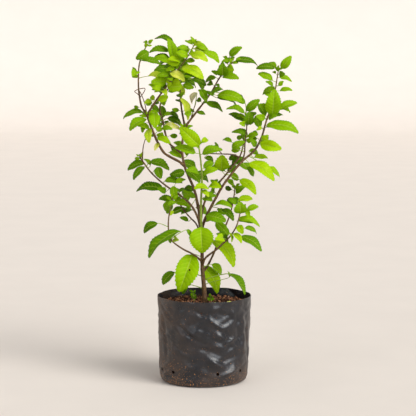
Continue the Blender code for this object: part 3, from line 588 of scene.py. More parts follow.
def soilMaterial():
    paint = Paint("crumbly red brown soil")
    cloudy = paint.noise(90.0, 6.0, 0.65)
    grains = paint.noise(420.0, 4.0, 0.6)
    bits = paint.noise(300.0, 2.0, 0.5, 1.0)
    varied = paint.scaled(paint.scaled(cloudy, 1.0, -0.5), 0.8, paint.attribute("own"))
    base = paint.ramp(varied, (0.0, (0.026, 0.01, 0.006)), (0.3, (0.075, 0.028, 0.014)),
                      (0.6, (0.21, 0.078, 0.035)), (1.0, (0.55, 0.26, 0.13)))
    base = paint.mix(paint.scaled(paint.mask(grains, 0.45, 0.68), 0.6), base, (0.14, 0.06, 0.03))
    base = paint.mix(paint.mask(bits, 0.69, 0.73), base, (0.55, 0.36, 0.22))
    paint.bump(paint.scaled(grains, 0.5, cloudy), 0.8, 0.0015)
    return paint.finish(base, 0.93, 0.2)


earth = soilMaterial()
plugPiece = modelSoil()
wear(plugPiece, earth)
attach(plugPiece, "root")
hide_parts("soil")
crumbPiece = modelCrumbs()
wear(crumbPiece, earth)
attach(crumbPiece, "root")
print("soil:", len(plugPiece.data.polygons), "faces and", len(crumbPiece.data.polygons), "in crumbs")


# Stems and leaves. Each stem is a list of shoots and a list of leaves. A shoot is its radius at
# the start and at the end, then its route. A leaf is the place of its base and of its tip across
# and up, how wide it looks from the front, and how far its tip leans back. All in mm. A seventh
# number is a leaf's tone with painted shade in it: 0 dark, partly painted shade where the leaf
# lies in shadow, 0.6 bright, 0.88 yellow, 1 dry.

stems = {
    "main_stem": {
        "shoots": (
            (3.1, 1.5, ((0.4, 0, 86.0), (0.4, 0, 109.3), (0, 0, 117.9), (-1, 0, 135), (-3.1, 0, 160.6),
             (-3.5, 1, 181.8), (-4.9, 2, 201.5), (-5.2, 4, 216.8), (-7.1, 8, 234.8), (-9.9, 11, 249.2),
             (-14.8, 15, 269.4), (-22.6, 18, 287.5), (-28.1, 20, 301.5), (-31.2, 22, 318.3),
             (-30.9, 25, 337.8), (-27.5, 27, 356))),
            (1.35, 0.7, ((-27.5, 27, 356), (-31.5, 33, 375.4), (-33.7, 38, 392.1), (-34.7, 42, 413.1),
             (-34, 44, 427.2))),
            (1.4, 0.8, ((-27.5, 27, 356), (-19.1, 27, 367.3), (-2.6, 24, 388.6), (9.8, 20, 405.6),
             (20, 15, 424), (32.2, 10, 440.8), (39.7, 8, 447.8))),
            (0.7, 0.5, ((-19.1, 27, 367.3), (-15.6, 31, 379.8), (-12, 34, 390.2))),
        ),
        "leaves": (
            (-33, 396, -23, 366, 10, -8, 0.82), (-43, 413, -27, 401, 11, 14, 0.84),
             (-11, 424, 0, 408, 9, 8), (-32, 421, -11, 412, 8, 17), (-18, 423, 2, 417, 8, -11),
             (-11, 404, -19, 388, 7, 11, 1.0), (-30, 388, -40, 393, 6, 20), (-35, 427, -24, 433, 9, 17),
             (-23, 423, -29, 412, 7, 20), (18, 401, 56, 394, 13, -8), (2, 389, 27, 379, 9, 6, 0.3),
             (25, 426, 48, 425, 8, -8), (25, 428, 25, 446, 16, -13), (43, 448, 76, 446, 10, 6),
             (35, 456, 51, 469, 10, -6), (31, 451, 26, 456, 4, 8), (16, 426, 0, 420, 7, 8),
             (-5, 408, 3, 393, 10, -11), (32, 445, 40, 455, 5, 20), (18, 397, 45, 389, 10, 22),
             (39, 399, 56, 390, 8, 14), (-28, 293, -48, 290, 12, -6, 0.12), (-25, 294, -6, 282, 10, -14),
             (-32, 306, -11, 294, 11, 17), (-15, 288, 7, 279, 9, 20), (-33, 312, -51, 321, 9, 17),
             (-25, 315, -12, 334, 8, 14), (-29, 323, -43, 335, 7, 8), (-12, 243, 5, 232, 9, 17),
             (-15, 265, -32, 267, 7, 14), (-17, 179, -35, 130, 31, -20, 0.58),
             (-3, 160, 22, 122, 18, -11, 0.7), (11, 198, 45, 168, 13, -14, 0.7),
             (-42, 153, -60, 135, 10, 6, 0.18), (10, 164, 25, 148, 9, 11), (33, 153, 57, 127, 9, -6, 0.14),
             (35, 147, 33, 155, 3, 6), (-23, 135, -32, 121, 7, 6), (-16, 217, -33, 218, 5, 11),
             (1, 224, 10, 234, 9, 11), (4, 156, -5, 150, 5, 11)),
    },
    "upper_left_stem": {
        "shoots": (
            (1.7, 1.4, ((-28.1, 20, 301.5), (-35.8, 13, 308.4), (-47.7, 4, 315.5), (-56.7, -4, 322.5),
             (-65.2, -10, 337.5), (-69.5, -13, 347.9), (-75.3, -16, 362.9), (-79.4, -18, 375.5))),
            (1.3, 0.7, ((-79.4, -18, 375.5), (-87, -15, 387.8), (-90.3, -12, 404.2), (-91.4, -10, 419.3),
             (-90.5, -8, 442.7), (-85.7, -6, 459.2), (-80.1, -5, 470.2))),
            (0.7, 0.5, ((-79.4, -18, 375.5), (-82.1, -23, 390.9), (-85.9, -24, 402), (-89.3, -24, 408.9))),
            (1.3, 0.7, ((-79.4, -18, 375.5), (-67, -26, 395.2), (-54.7, -33, 412), (-44.3, -39, 425.8),
             (-36.4, -43, 438.2), (-24.3, -47, 454), (-12.3, -50, 474.9))),
        ),
        "leaves": (
            (-77, 473, -71, 479, 5, -6), (-79, 473, -85, 476, 4, 8), (-77, 462, -94, 453, 13, -6),
             (-87, 449, -61, 445, 7, 6), (-78, 429, -52, 426, 7, -6, 0.86), (-91, 426, -101, 428, 5, 6),
             (-12, 471, 5, 466, 9, 8), (-18, 460, 5, 452, 10, -6), (-1, 463, 21, 449, 8, 6),
             (-30, 441, -1, 428, 13, -11), (-27, 433, -4, 428, 8, -17, 0.12),
             (-46, 435, -27, 425, 10, -14, 0.85), (-39, 437, -55, 443, 7, 11, 0.05),
             (-64, 413, -77, 418, 6, 6), (-60, 404, -56, 423, 12, 8, 0.1), (-11, 473, -4, 476, 4, -6),
             (-33, 450, -48, 454, 8, -14), (-22, 456, -38, 463, 9, -8), (-80, 369, -104, 357, 10, -6),
             (-85, 378, -114, 374, 6, 3), (-69, 378, -68, 360, 15, -14),
             (-76, 356, -77, 339, 10, -11, 0.74), (-82, 364, -86, 352, 7, -6), (-72, 391, -82, 394, 10, 6),
             (-69, 395, -74, 402, 7, 8), (-91, 386, -98, 386, 5, 6), (-59, 357, -45, 357, 7, -8),
             (-65, 343, -47, 337, 8, -8), (-63, 335, -69, 327, 6, -7, 0.86), (-74, 366, -64, 374, 8, 11)),
    },
    "inner_left_stem": {
        "shoots": (
            (1.4, 0.7, ((-31.2, 22, 318.3), (-40.3, 30, 324.7), (-49.6, 36, 332.1), (-55.4, 40, 345.3),
             (-58.6, 42, 362.2), (-62.5, 43, 373.5), (-63.1, 42, 384.8), (-56.6, 38, 400.6),
             (-49.4, 33, 413.5), (-45.7, 28, 430.5), (-44.9, 24, 447.4))),
            (0.8, 0.6, ((-62.5, 43, 373.5), (-68.3, 48, 379.6), (-71.2, 52, 388.6))),
        ),
        "leaves": (
            (-46, 453, -49, 480, 12, -6), (-44, 476, -70, 482, 8, 3), (-50, 462, -77, 464, 9, -3),
             (-49, 449, -71, 456, 9, 8, 0.02), (-37, 454, -21, 467, 11, 8), (-40, 452, -31, 471, 7, 17),
             (-59, 367, -61, 385, 11, 6, 0.12), (-51, 374, -36, 371, 6, 6),
             (-53, 367, -29, 356, 9, 11, 0.05), (-56, 358, -34, 352, 7, -3, 0.9),
             (-65, 377, -76, 387, 8, 8), (-48, 452, -65, 442, 7, 17), (-44, 438, -59, 431, 7, 14),
             (-40, 438, -23, 442, 9, 14), (-48, 326, -40, 316, 7, 11)),
    },
    "front_stem": {
        "shoots": (
            (1.7, 0.9, ((-5.2, -1, 201.9), (-4.6, -9, 219.9), (-4.8, -15, 237.5), (-4.8, -20, 256.6),
             (-3.4, -27, 288), (-4.7, -31, 308.7), (-7.1, -35, 329.2), (-8, -36, 335.3))),
        ),
        "leaves": (
            (-7, 334, -33, 360, 20, -6, 0.62), (-4, 338, 5, 343, 7, 11), (-12, 324, -41, 332, 11, -3),
             (-3, 322, 24, 331, 11, -3), (-1, 301, 13, 311, 9, 11), (-2, 293, 18, 303, 8, -8),
             (5, 275, -12, 279, 6, -20), (5, 275, 22, 278, 6, -22), (-4, 271, 6, 266, 6, -11),
             (-8, 296, -23, 303, 7, -14), (-5, 218, -3, 184, 33, -8, 0.62)),
    },
    "right_stem": {
        "shoots": (
            (1.8, 1, ((-4.7, 3, 211.3), (1.4, -6, 230.8), (9.1, -12, 246.9), (18, -17, 264.3),
             (28, -21, 281.4), (50.2, -24, 310), (68.5, -22, 326), (78.8, -18, 344.2), (85.2, -13, 365.5),
             (90.3, -9, 379.2), (95.1, -5, 391.4))),
            (1, 0.7, ((90.3, -9, 379.2), (95.4, 2, 395.2), (99, 8, 410.3), (100.9, 10, 422.7),
             (103.2, 11, 436.6))),
            (1.1, 0.7, ((51.9, -23.5, 310), (55.5, -14, 322.6), (56.4, -6, 337.3), (58.9, 2, 357.6),
             (57.3, 6, 372.7))),
        ),
        "leaves": (
            (98, 439, 72, 440, 8, 3), (100, 440, 89, 448, 8, 11), (107, 438, 120, 456, 12, -6),
             (95, 422, 75, 432, 8, 3), (105, 425, 123, 422, 6, 3), (103, 414, 110, 418, 5, 6),
             (99, 410, 80, 404, 7, 6), (105, 408, 122, 409, 6, -6), (94, 375, 96, 411, 22, -14, 0.6),
             (105, 382, 129, 392, 9, 6), (107, 384, 121, 380, 6, 14), (87, 360, 130, 355, 13, -8),
             (89, 370, 110, 375, 7, 11), (85, 373, 75, 390, 10, 6), (84, 370, 71, 375, 9, -8),
             (77, 358, 71, 375, 11, 8), (77, 334, 106, 330, 15, -6), (71, 332, 64, 343, 8, -11),
             (69, 317, 88, 316, 6, 6), (62, 310, 97, 288, 16, -11), (87, 302, 106, 290, 8, 8),
             (59, 303, 69, 290, 8, 11), (59, 380, 76, 396, 12, -3), (56, 376, 31, 385, 8, 0),
             (56, 364, 34, 376, 9, 6), (61, 360, 62, 379, 15, -8), (57, 390, 40, 398, 9, 8),
             (57, 347, 38, 352, 7, 0), (65, 347, 75, 350, 8, 8), (38, 337, 25, 341, 5, 8),
             (38, 330, 55, 339, 10, -6), (59, 337, 67, 344, 7, -8), (50, 329, 37, 324, 8, 6),
             (62, 326, 77, 320, 7, 11), (14, 249, 38, 251, 5, -8), (24, 244, 41, 230, 8, -8, 0.08),
             (2, 234, 30, 229, 13, -11)),
    },
    "right_back_stem": {
        "shoots": (
            (1.5, 0.9, ((-5.6, 5, 223.8), (-2.2, 15, 242.5), (2.8, 24, 255.7), (14.8, 33, 270.4),
             (30.5, 42, 287.4), (42, 48, 301.9), (50.6, 52, 313), (54.9, 54, 327.1), (56.3, 54, 338.6))),
            (0.9, 0.6, ((49.1, 51, 311.6), (39.1, 49, 315.4), (24.8, 44, 316.5), (4.9, 38, 317.7))),
            (0.6, 0.5, ((24.8, 44, 316.5), (19.1, 42, 323.8), (16.3, 41, 332.4))),
        ),
        "leaves": (
            (24, 294, 25, 316, 21, -8, 0.72), (17, 320, 16, 334, 4, -3), (0, 311, 14, 307, 7, 8),
             (50, 280, 74, 262, 13, -8, 0.74), (39, 300, 57, 310, 9, 8), (38, 290, 48, 278, 9, 6),
             (50, 299, 70, 292, 9, 11), (32, 279, 42, 270, 7, 11), (29, 292, 10, 299, 9, 11),
             (45, 314, 35, 307, 8, 6), (60, 339, 50, 353, 8, 8), (33, 288, 48, 299, 9, 11)),
    },
    "left_stem": {
        "shoots": (
            (1.5, 0.8, ((-5.5, 3, 214.1), (-9.8, -3, 231.8), (-19, -5, 249), (-33.3, -2, 261.6),
             (-56.1, 4, 276.7), (-74.6, 8, 293), (-87, 10, 309.4), (-91.1, 11, 315.4))),
            (0.7, 0.5, ((-87, 10, 309.4), (-86.6, 6, 319.6), (-85.5, 3, 330.4), (-82.6, 2, 340.9))),
        ),
        "leaves": (
            (-84, 305, -109, 297, 9, 3), (-84, 301, -100, 285, 9, -6), (-77, 308, -49, 297, 9, 6),
             (-66, 301, -61, 286, 12, -8), (-58, 270, -96, 272, 11, 3, 0.06), (-56, 280, -31, 278, 9, 6),
             (-44, 275, -41, 257, 11, -8), (-76, 303, -85, 313, 5, 8), (-40, 279, -27, 284, 7, 11),
             (-13, 259, -31, 264, 7, 8), (-54, 267, -65, 273, 8, -11)),
    },
    "left_thin_stem": {
        "shoots": (
            (1.1, 0.7, ((-3.8, 1, 198.8), (-10.9, 12, 218.7), (-19.1, 20, 227), (-25.6, 26, 233.4),
             (-33.5, 32, 243.4), (-38.5, 36, 255.8))),
        ),
        "leaves": (
            (-44, 250, -65, 255, 8, 3), (-44, 250, -19, 244, 8, -3), (-48, 248, -53, 233, 10, -6),
             (-46, 233, -25, 240, 9, 6), (-33, 232, -15, 238, 7, 8), (-23, 223, -35, 229, 6, 6),
             (-23, 251, -32, 264, 7, 11)),
    },
    "left_low_stem": {
        "shoots": (
            (1.3, 0.7, ((-3.3, 0, 167.7), (-10.5, -7, 175.8), (-20.5, -13, 183.1), (-29.1, -18, 188),
             (-42.6, -24, 198.4), (-47.6, -26, 206.2), (-50, -28, 218.9), (-49.4, -27, 235),
             (-46.4, -25, 248.4), (-45, -22, 260.6))),
        ),
        "leaves": (
            (-65, 226, -86, 214, 9, 3, 0.1), (-49, 255, -56, 241, 8, 6), (-49, 235, -43, 242, 5, 6),
             (-51, 251, -39, 256, 6, 8), (-33, 216, -78, 183, 11, -6, 0.25), (-25, 216, -19, 204, 4, 11)),
    },
    "right_low_stem": {
        "shoots": (
            (1.4, 0.7, ((-3.3, 0, 162.1), (0.7, -7, 173.6), (8.3, -13, 181.2), (15.6, -18, 187),
             (25.6, -24, 197.1), (35.4, -27, 207.6), (44.1, -27, 221.3), (48.5, -24, 235.7),
             (50, -21, 246.5))),
        ),
        "leaves": (
            (48, 229, 78, 223, 7, 3), (50, 239, 49, 256, 18, -8), (59, 243, 75, 249, 7, 3),
             (59, 243, 62, 235, 7, -6), (44, 251, 33, 261, 7, 6), (47, 257, 67, 259, 7, 6),
             (46, 228, 78, 223, 7, 6), (47, 223, 53, 213, 10, -8), (56, 219, 74, 212, 6, 6),
             (50, 208, 80, 190, 11, -8, 0.22), (39, 211, 52, 202, 6, -8, 0.72), (34, 214, 38, 201, 4, -6)),
    },
    "right_low_back_stem": {
        "shoots": (
            (1.4, 0.7, ((-2.8, 0, 153.5), (3.2, 8, 159.4), (12, 17, 175.3), (18.8, 26, 191.2),
             (26.1, 34, 205.9), (33.7, 40, 223.1), (39.2, 43, 240.7), (42, 44, 256.4), (43.4, 44, 269.3))),
        ),
        "leaves": (
            (29, 211, 33, 199, 6, 8), (39, 239, 33, 251, 7, 8), (45, 258, 58, 270, 7, 6),
             (39, 264, 29, 268, 7, 6), (41, 252, 52, 242, 8, 11), (16, 220, 34, 202, 13, -6),
             (31, 230, 18, 238, 8, 6)),
    },
}

for stem in stems.values():
    stem["shoots"] = [(thick, thin, [Vector(spot) for spot in route])
                      for thick, thin, route in stem["shoots"]]

growth = {
    "thickness": 0.85,
    "stalkRadius": 1.0,
    "stalkReach": 1.6,
    "leastStalk": 4.5,
    # A leaf is held lower on its shoot than the nearest spot, by a share of its distance
    "holdStep": 1.5,
    "holdDrop": 0.35,
    "holdDropMost": 6,
    "bladeFoot": 0.45,
    "leastRatio": 0.52,
    "mostRatio": 0.78,
    "arch": 0.11,
    "edgeLift": 0.16,
    # For leaves longer than the first number: margin points, each with its width, and rib points
    "margins": ((33.0, ((0.22, 1.0), (0.42, 1.06), (0.46, 0.9), (0.66, 1.08), (0.69, 0.86),
                        (0.86, 1.05)), (0.3, 0.66)),
                (23.0, ((0.26, 1.0), (0.5, 1.07), (0.55, 0.88), (0.78, 1.1)), (0.36, 0.7)),
                (0.0, ((0.32, 1.04), (0.6, 1.08), (0.66, 0.88)), (0.42,))),
    "leastSolidLeaf": 17.5,
    "clearSpace": 0.45,
    "shrinks": (1.0, 0.8, 0.62),
    "moves": ((0, 0.0), (3, 0.0), (-3, 0.0), (6, 0.0), (-6, 0.0), (3, 0.25), (-3, -0.25), (9, 0.2),
              (-9, -0.2), (13, 0.3), (-13, -0.3), (18, 0.3), (-18, -0.3), (24, 0.1), (-24, -0.1)),
    "spareShoot": 100.0,
    "spareThin": 1.3,
    "spareStart": 60.0,
    "spareSpacing": 95.0,
    "seed": 5,
    "extraStart": 22.0,
    "extraSpacing": 16.0,
    "extraFrom": 330.0,
    "extraThin": 0.65,
    "extraLeft": -84.0,
    "bushyFrom": 405.0,
    "bushyAcross": (-62.0, 6.0),
    "bushySpacing": 0.36,
    "bushyLength": 1.35,
    "extraSeed": 17,
}


def boxOf(points, grow):
    low = [min(p[k] for p in points) - grow for k in range(3)]
    high = [max(p[k] for p in points) + grow for k in range(3)]
    return low, high


def treeOf(mesh):
    points = [v.co / mm for v in mesh.vertices]
    return BVHTree.FromPolygons(points, [tuple(p.vertices) for p in mesh.polygons]), boxOf(points, 0.0)


# Tubes of round section, one through each line of points with their radii
def tubeThrough(name, lines, resolution):
    curve = bpy.data.curves.new(name, "CURVE")
    curve.dimensions = "3D"
    curve.bevel_depth = 1.0 * mm
    curve.bevel_resolution = resolution
    curve.use_fill_caps = True
    curve.twist_mode = "MINIMUM"
    for line in lines:
        spline = curve.splines.new("POLY")
        spline.points.add(len(line) - 1)
        for point, (spot, radius) in zip(spline.points, line):
            point.co = (*(spot * mm), 1.0)
            point.radius = radius
    pick(linkNew(name, curve))
    bpy.ops.object.convert(target="MESH")
    return bpy.context.object


def shootTree(name, shoot):
    thick, thin, route = shoot
    last = len(route) - 1
    line = [(spot, thick + (thin - thick) * (k / last)) for k, spot in enumerate(route)]
    tube = tubeThrough(name, [line], 1)
    found = treeOf(tube.data)
    remove(tube)
    return found


# The spot on the shoots that holds a leaf: a little below the one nearest in the picture
def holdingPoint(shoots, x, z):
    spots = []
    for number, (_, _, route) in enumerate(shoots):
        for start, end in pairwise(route):
            steps = max(1, int((end - start).length / growth["holdStep"]))
            spots += [(number, start.lerp(end, k / steps)) for k in range(steps)]
        spots.append((number, route[-1]))
    away = [math.hypot(spot.x - x, spot.z - z) for _, spot in spots]
    best = away.index(min(away))
    drop = min(int(away[best] * growth["holdDrop"] / growth["holdStep"]), growth["holdDropMost"])
    lower = max(0, best - drop)
    return spots[lower if spots[lower][0] == spots[best][0] else best][1]


def leafWidth(share):
    return math.sin(math.pi * share ** 0.86) ** 0.8


# Directions along, across and out of a leaf, turned so that it looks as wide as it should
def leafFrame(base, tip, looksWide, side, mostRatio):
    axis = (tip - base).normalized()
    length = (tip - base).length
    picture = Vector((-axis.z, 0.0, axis.x))
    if picture.length < 0.2:
        picture = Vector((1.0, 0.0, 0.0))
    picture.normalize()
    if picture.z < 0 or (abs(picture.z) < 0.25 and side < 0):
        picture = -picture
    width = min(max(looksWide, growth["leastRatio"] * length), mostRatio * length)
    front = axis.cross(picture).normalized()
    if front.y > 0:
        front = -front
    tilt = math.acos(min(1.0, looksWide / width))
    upper = front * math.cos(tilt) + picture * math.sin(tilt)
    upper = (upper - axis * upper.dot(axis)).normalized()
    return axis.cross(upper).normalized(), upper, width


# The coarse blade of a solid leaf: two halves, each stitched from its margin to the rib
def plainBlade(base, tip, looksWide, side, turnWave):
    across, upper, width = leafFrame(base, tip, looksWide, side, growth["mostRatio"])
    length = (tip - base).length
    margin, rib = next(row[1:] for row in growth["margins"] if length > row[0])

    def place(share, outwards):
        arch = upper * length * growth["arch"] * 4 * share * (1 - share)
        lift = upper * abs(outwards) * growth["edgeLift"]
        wave = upper * length * 0.04 * math.sin(9 * share + turnWave) * abs(outwards) / width
        return base.lerp(tip, share) + arch + lift + wave + across * outwards

    points = [place(0.0, -growth["bladeFoot"]), place(0.0, growth["bladeFoot"])]
    points += [place(share, 0.0) for share in (*rib, 1.0)]
    inner = [(share, k + 2) for k, share in enumerate((*rib, 1.0))]
    faces = [(1, 0, 2)]
    for sign, corner in ((-1, 0), (1, 1)):
        outer = [(0.0, corner)]
        for share, factor in margin:
            outer.append((share, len(points)))
            points.append(place(share, sign * width / 2 * leafWidth(share) * factor))
        outer.append(inner[-1])
        a = 0
        b = 0
        while a < len(outer) - 1 or b < len(inner) - 1:
            corners = [inner[b][1], outer[a][1]]
            if a < len(outer) - 1 and (b == len(inner) - 1 or outer[a + 1][0] <= inner[b + 1][0]):
                a += 1
                corners.append(outer[a][1])
            else:
                b += 1
                corners.append(inner[b][1])
            if len(set(corners)) == 3:
                faces.append(tuple(corners))
    return points, faces, upper, place(growth["stalkReach"] / length, 0.0)


def stalkTree(hold, end, thick):
    shape = bmesh.new()
    bmesh.ops.create_cone(shape, cap_ends=True, segments=3, radius1=thick, radius2=thick * 0.9,
                          depth=(end - hold).length)
    turn = Vector((0, 0, 1)).rotation_difference((end - hold).normalized())
    points = [turn @ vert.co + (hold + end) / 2 for vert in shape.verts]
    faces = [tuple(vert.index for vert in face.verts) for face in shape.faces]
    shape.free()
    return BVHTree.FromPolygons(points, faces), boxOf([hold, end], thick)


def bladeTree(points, faces, upper, thickness):
    away = upper * thickness / 2
    both = [p + away for p in points] + [p - away for p in points]
    others = [tuple(n + len(points) for n in face) for face in faces]
    return BVHTree.FromPolygons(both, faces + others), boxOf(points, thickness)


def meets(entry, others):
    tree, (low, high) = entry
    for other, (otherLow, otherHigh) in others:
        apart = any(low[k] > otherHigh[k] or otherLow[k] > high[k] for k in range(3))
        if not apart and tree.overlap(other):
            return True
    return False


# Tries the places near the one in the list until the leaf is clear of all that is there
def placeLeaf(node, row, placed, tubes, fixed, draw, room):
    baseX, baseZ, tipX, tipZ, looksWide, lean, shade, hold = (*row, None, None)[:8]
    if hold is None:
        hold = holdingPoint(stems[node]["shoots"], baseX, baseZ)
    side = draw.choice((-1, 1))
    turnWave = draw.uniform(0, 6)
    ownBlades = [blade for name, blade, _ in placed if name == node]
    ownStalks = [stalk for name, _, stalk in placed if name == node]
    foreign = list(fixed)
    for name, blade, stalk in placed:
        if name != node:
            foreign += [blade, stalk]
    for name, entries in tubes.items():
        if name != node:
            foreign += entries
    length = math.hypot(tipX - baseX, tipZ - baseZ)
    for shrink in growth["shrinks"]:
        for shift, extra in growth["moves"]:
            base = Vector((baseX, hold.y + lean * 0.25 + shift * 0.8, baseZ))
            if (base - hold).length < growth["leastStalk"]:
                base = base + Vector((0.0, 4.0 if lean > 0 else -4.0, 1.0))
            tip = Vector((tipX, base.y + lean + extra * length, tipZ))
            tip = base.lerp(tip, shrink)
            points, faces, upper, end = plainBlade(base, tip, looksWide * shrink, side, turnWave)
            blade = bladeTree(points, faces, upper, growth["thickness"] + 2 * growth["clearSpace"])
            low, high = blade[1]
            if room and not all(room[0][k] <= low[k] and high[k] <= room[1][k] for k in range(3)):
                continue
            stalk = stalkTree(hold, end, growth["stalkRadius"] + growth["clearSpace"])
            if meets(blade, foreign + tubes[node] + ownStalks + ownBlades):
                continue
            if meets(stalk, foreign + ownBlades):
                continue
            placed.append((node, bladeTree(points, faces, upper, growth["thickness"]),
                           stalkTree(hold, end, growth["stalkRadius"])))
            return {"hold": hold, "base": base, "tip": tip, "wide": looksWide * shrink, "side": side,
                    "wave": turnWave, "shade": shade}
    return None


# Spots along a route, from a start and as far apart as the spacing says
def spotsAlong(route, due, spacing):
    walked = 0.0
    for start, end in pairwise(route):
        piece = (end - start).length
        while walked + piece > due:
            spot = start.lerp(end, (due - walked) / piece)
            due += spacing(spot)
            yield spot
        walked += piece


# Leaves that point to the front and the back, where the photograph can't show them
def spareRows(shoots, draw):
    rows = []
    for _, thin, route in shoots:
        if pathLength(route) < growth["spareShoot"] or thin > growth["spareThin"]:
            continue
        for spot in spotsAlong(route, growth["spareStart"], lambda spot: growth["spareSpacing"]):
            for face in (-1, 1):
                length = draw.uniform(20, 29)
                turn = draw.uniform(-0.9, 0.9)
                base = spot + Vector((math.sin(turn) * 7, face * 7, 3.0))
                rows.append((base.x, base.z, base.x + math.sin(turn) * (length * 0.5),
                             base.z + draw.uniform(-8, 6), length * draw.uniform(0.35, 0.5),
                             face * length * 0.85, None, spot))
    return rows


# Smaller leaves in opposite pairs, each pair turned a quarter from the one below
def extraRows(shoots, draw):
    rows = []

    left, right = growth["bushyAcross"]

    def ifBushy(spot, factor):
        return factor if spot.z > growth["bushyFrom"] and left < spot.x < right else 1.0

    def spacing(spot):
        return growth["extraSpacing"] * draw.uniform(0.8, 1.2) * ifBushy(spot, growth["bushySpacing"])

    for _, thin, route in shoots:
        quarter = draw.uniform(0, 3.1)
        for spot in spotsAlong(route, growth["extraStart"], spacing):
            quarter += math.pi / 2
            if spot.z < growth["extraFrom"] or thin < growth["extraThin"] or spot.x < growth["extraLeft"]:
                continue
            for face in (0.0, math.pi):
                turn = quarter + face
                length = draw.uniform(9, 19) * ifBushy(spot, growth["bushyLength"])
                base = spot + Vector((math.cos(turn) * 4.5, math.sin(turn) * 4.5, 2.5))
                tipX = base.x + math.cos(turn) * length * 0.9
                rows.append((base.x, base.z, tipX, base.z + draw.uniform(-5, 7),
                             length * draw.uniform(0.35, 0.6), math.sin(turn) * length * 0.9, None, spot))
    return rows


# The leaves of the solids come first and in the same order, so that they take the same places
def placeAllLeaves():
    tubes = {node: [shootTree(node, shoot) for shoot in stem["shoots"]] for node, stem in stems.items()}
    fixed = [treeOf(nodes[name].data) for name in ("grow_bag", "soil")]
    placed = []
    leaves = {node: [] for node in stems}

    def isLarge(row):
        return math.dist(row[:2], row[2:4]) >= growth["leastSolidLeaf"]

    def placeRows(rowsOf, draw, room=None):
        for node, stem in stems.items():
            found = [placeLeaf(node, row, placed, tubes, fixed, draw, room) for row in rowsOf(stem)]
            leaves[node] += [leaf for leaf in found if leaf]

    draw = random.Random(growth["seed"])
    placeRows(lambda stem: filter(isLarge, stem["leaves"]), draw)
    placeRows(lambda stem: spareRows(stem["shoots"], draw), draw)
    solid = len(placed)
    room = [[v / mm + inwards for v in corner] for corner, inwards in zip(cadBox, (0.6, -0.6))]
    placeRows(lambda stem: (row for row in stem["leaves"] if not isLarge(row)), draw, room)
    more = random.Random(growth["extraSeed"])
    placeRows(lambda stem: extraRows(stem["shoots"], more), more, room)
    print("leaves:", solid, "as in the solids and", len(placed) - solid, "smaller ones")
    return leaves


# Finer blades: three flat grids, bent onto the places found above

blades = {
    # Faces across and along, and the length from which the grid is used
    "grids": {"large": (8, 24, 31.0), "medium": (6, 16, 17.0), "small": (4, 10, 0.0)},
    "thickness": 0.34,
    "toothOut": 0.045,
    "toothForward": 0.3,
    "fullness": 0.62,
    "mostRatio": 1.02,
    "leastHalf": 0.32,
    "tipTaper": 0.55,
    "quilt": 0.07,
    "droop": 0.1,
    # Shade of a leaf without its own: the usual one, lighter upwards, painted shade backwards, its spread and
    # its limits
    "shade": 0.4,
    "shadeUpwards": 0.06,
    "paintedShadeBackwards": 0.005,
    "shadeSpread": 0.26,
    "shadeLeast": 0.05,
    "shadeMost": 0.76,
    "seed": 21,
}


def masterBlade(kind):
    deselectAll()
    across, along, _ = blades["grids"][kind]
    bpy.ops.mesh.primitive_grid_add(x_subdivisions=across, y_subdivisions=along, size=1.0)
    bpy.context.object.name = kind + "Blade"
    return bpy.context.object


def archLift(length, share):
    return length * growth["arch"] * 4 * share * (1 - share)


def bendBlade(blade, spot, rows, looks):
    base = spot["base"]
    tip = spot["tip"]
    across, upper, width = leafFrame(base, tip, spot["wide"], spot["side"], blades["mostRatio"])
    length = (tip - base).length
    curl = blades["droop"] * looks.uniform(0.2, 1.9)
    cup = growth["edgeLift"] * looks.uniform(0.3, 2.4)
    ruffle = looks.uniform(0.03, 0.07)
    teeth = blades["toothOut"] * looks.uniform(0.8, 1.2)
    twist = looks.uniform(-0.3, 0.3)
    for vert in blade.data.vertices:
        sideways = vert.co.x * 2
        share = vert.co.y + 0.5
        row = round(share * rows)
        outer = leafWidth(share) ** (blades["fullness"] / 0.8) * width / 2
        if abs(sideways) > 0.99 and 0 < row < rows:
            sign = 1 if row % 2 else -1
            outer *= 1.02 + teeth * sign
            share += blades["toothForward"] / rows * sign
        outwards = sideways * max(outer, blades["leastHalf"] * (1.0 - blades["tipTaper"] * share))
        away = abs(outwards)
        lift = (math.hypot(away, 0.06 * width) - 0.06 * width) * cup
        lift += width * blades["quilt"] * math.sin(math.pi * abs(sideways)) * math.sin(math.pi * share)
        lift += archLift(length, share)
        lift += length * ruffle * math.sin(9 * share + spot["wave"]) * away / width
        lift -= length * curl * share ** 4
        lift += twist * outwards * share
        vert.co = (base.lerp(tip, share) + upper * lift + across * outwards) * mm
    spot["upper"] = upper
    spot["curl"] = curl


def growBlade(spot, shade, looks):
    length = (spot["tip"] - spot["base"]).length
    kind = next(kind for kind, (_, _, least) in blades["grids"].items() if length > least)
    blade = copyOf(masters[kind])
    bendBlade(blade, spot, blades["grids"][kind][1], looks)
    count = len(blade.data.vertices)
    fillAttribute(blade, "shade", [shade] * count)
    fillAttribute(blade, "own", [looks.random()] * count)
    return blade


# Blades joined into one piece with a thickness
def growFoliage(name, spots, shades, thickness, looks):
    foliage = joinInto(name, [growBlade(spot, shade, looks) for spot, shade in zip(spots, shades)])
    thicken(foliage, thickness)
    smoothShade(foliage, 55)
    wear(foliage, leafGreen)
    return foliage


# Wood: every shoot is a round curve through its route, thicker at the joints of the leaves

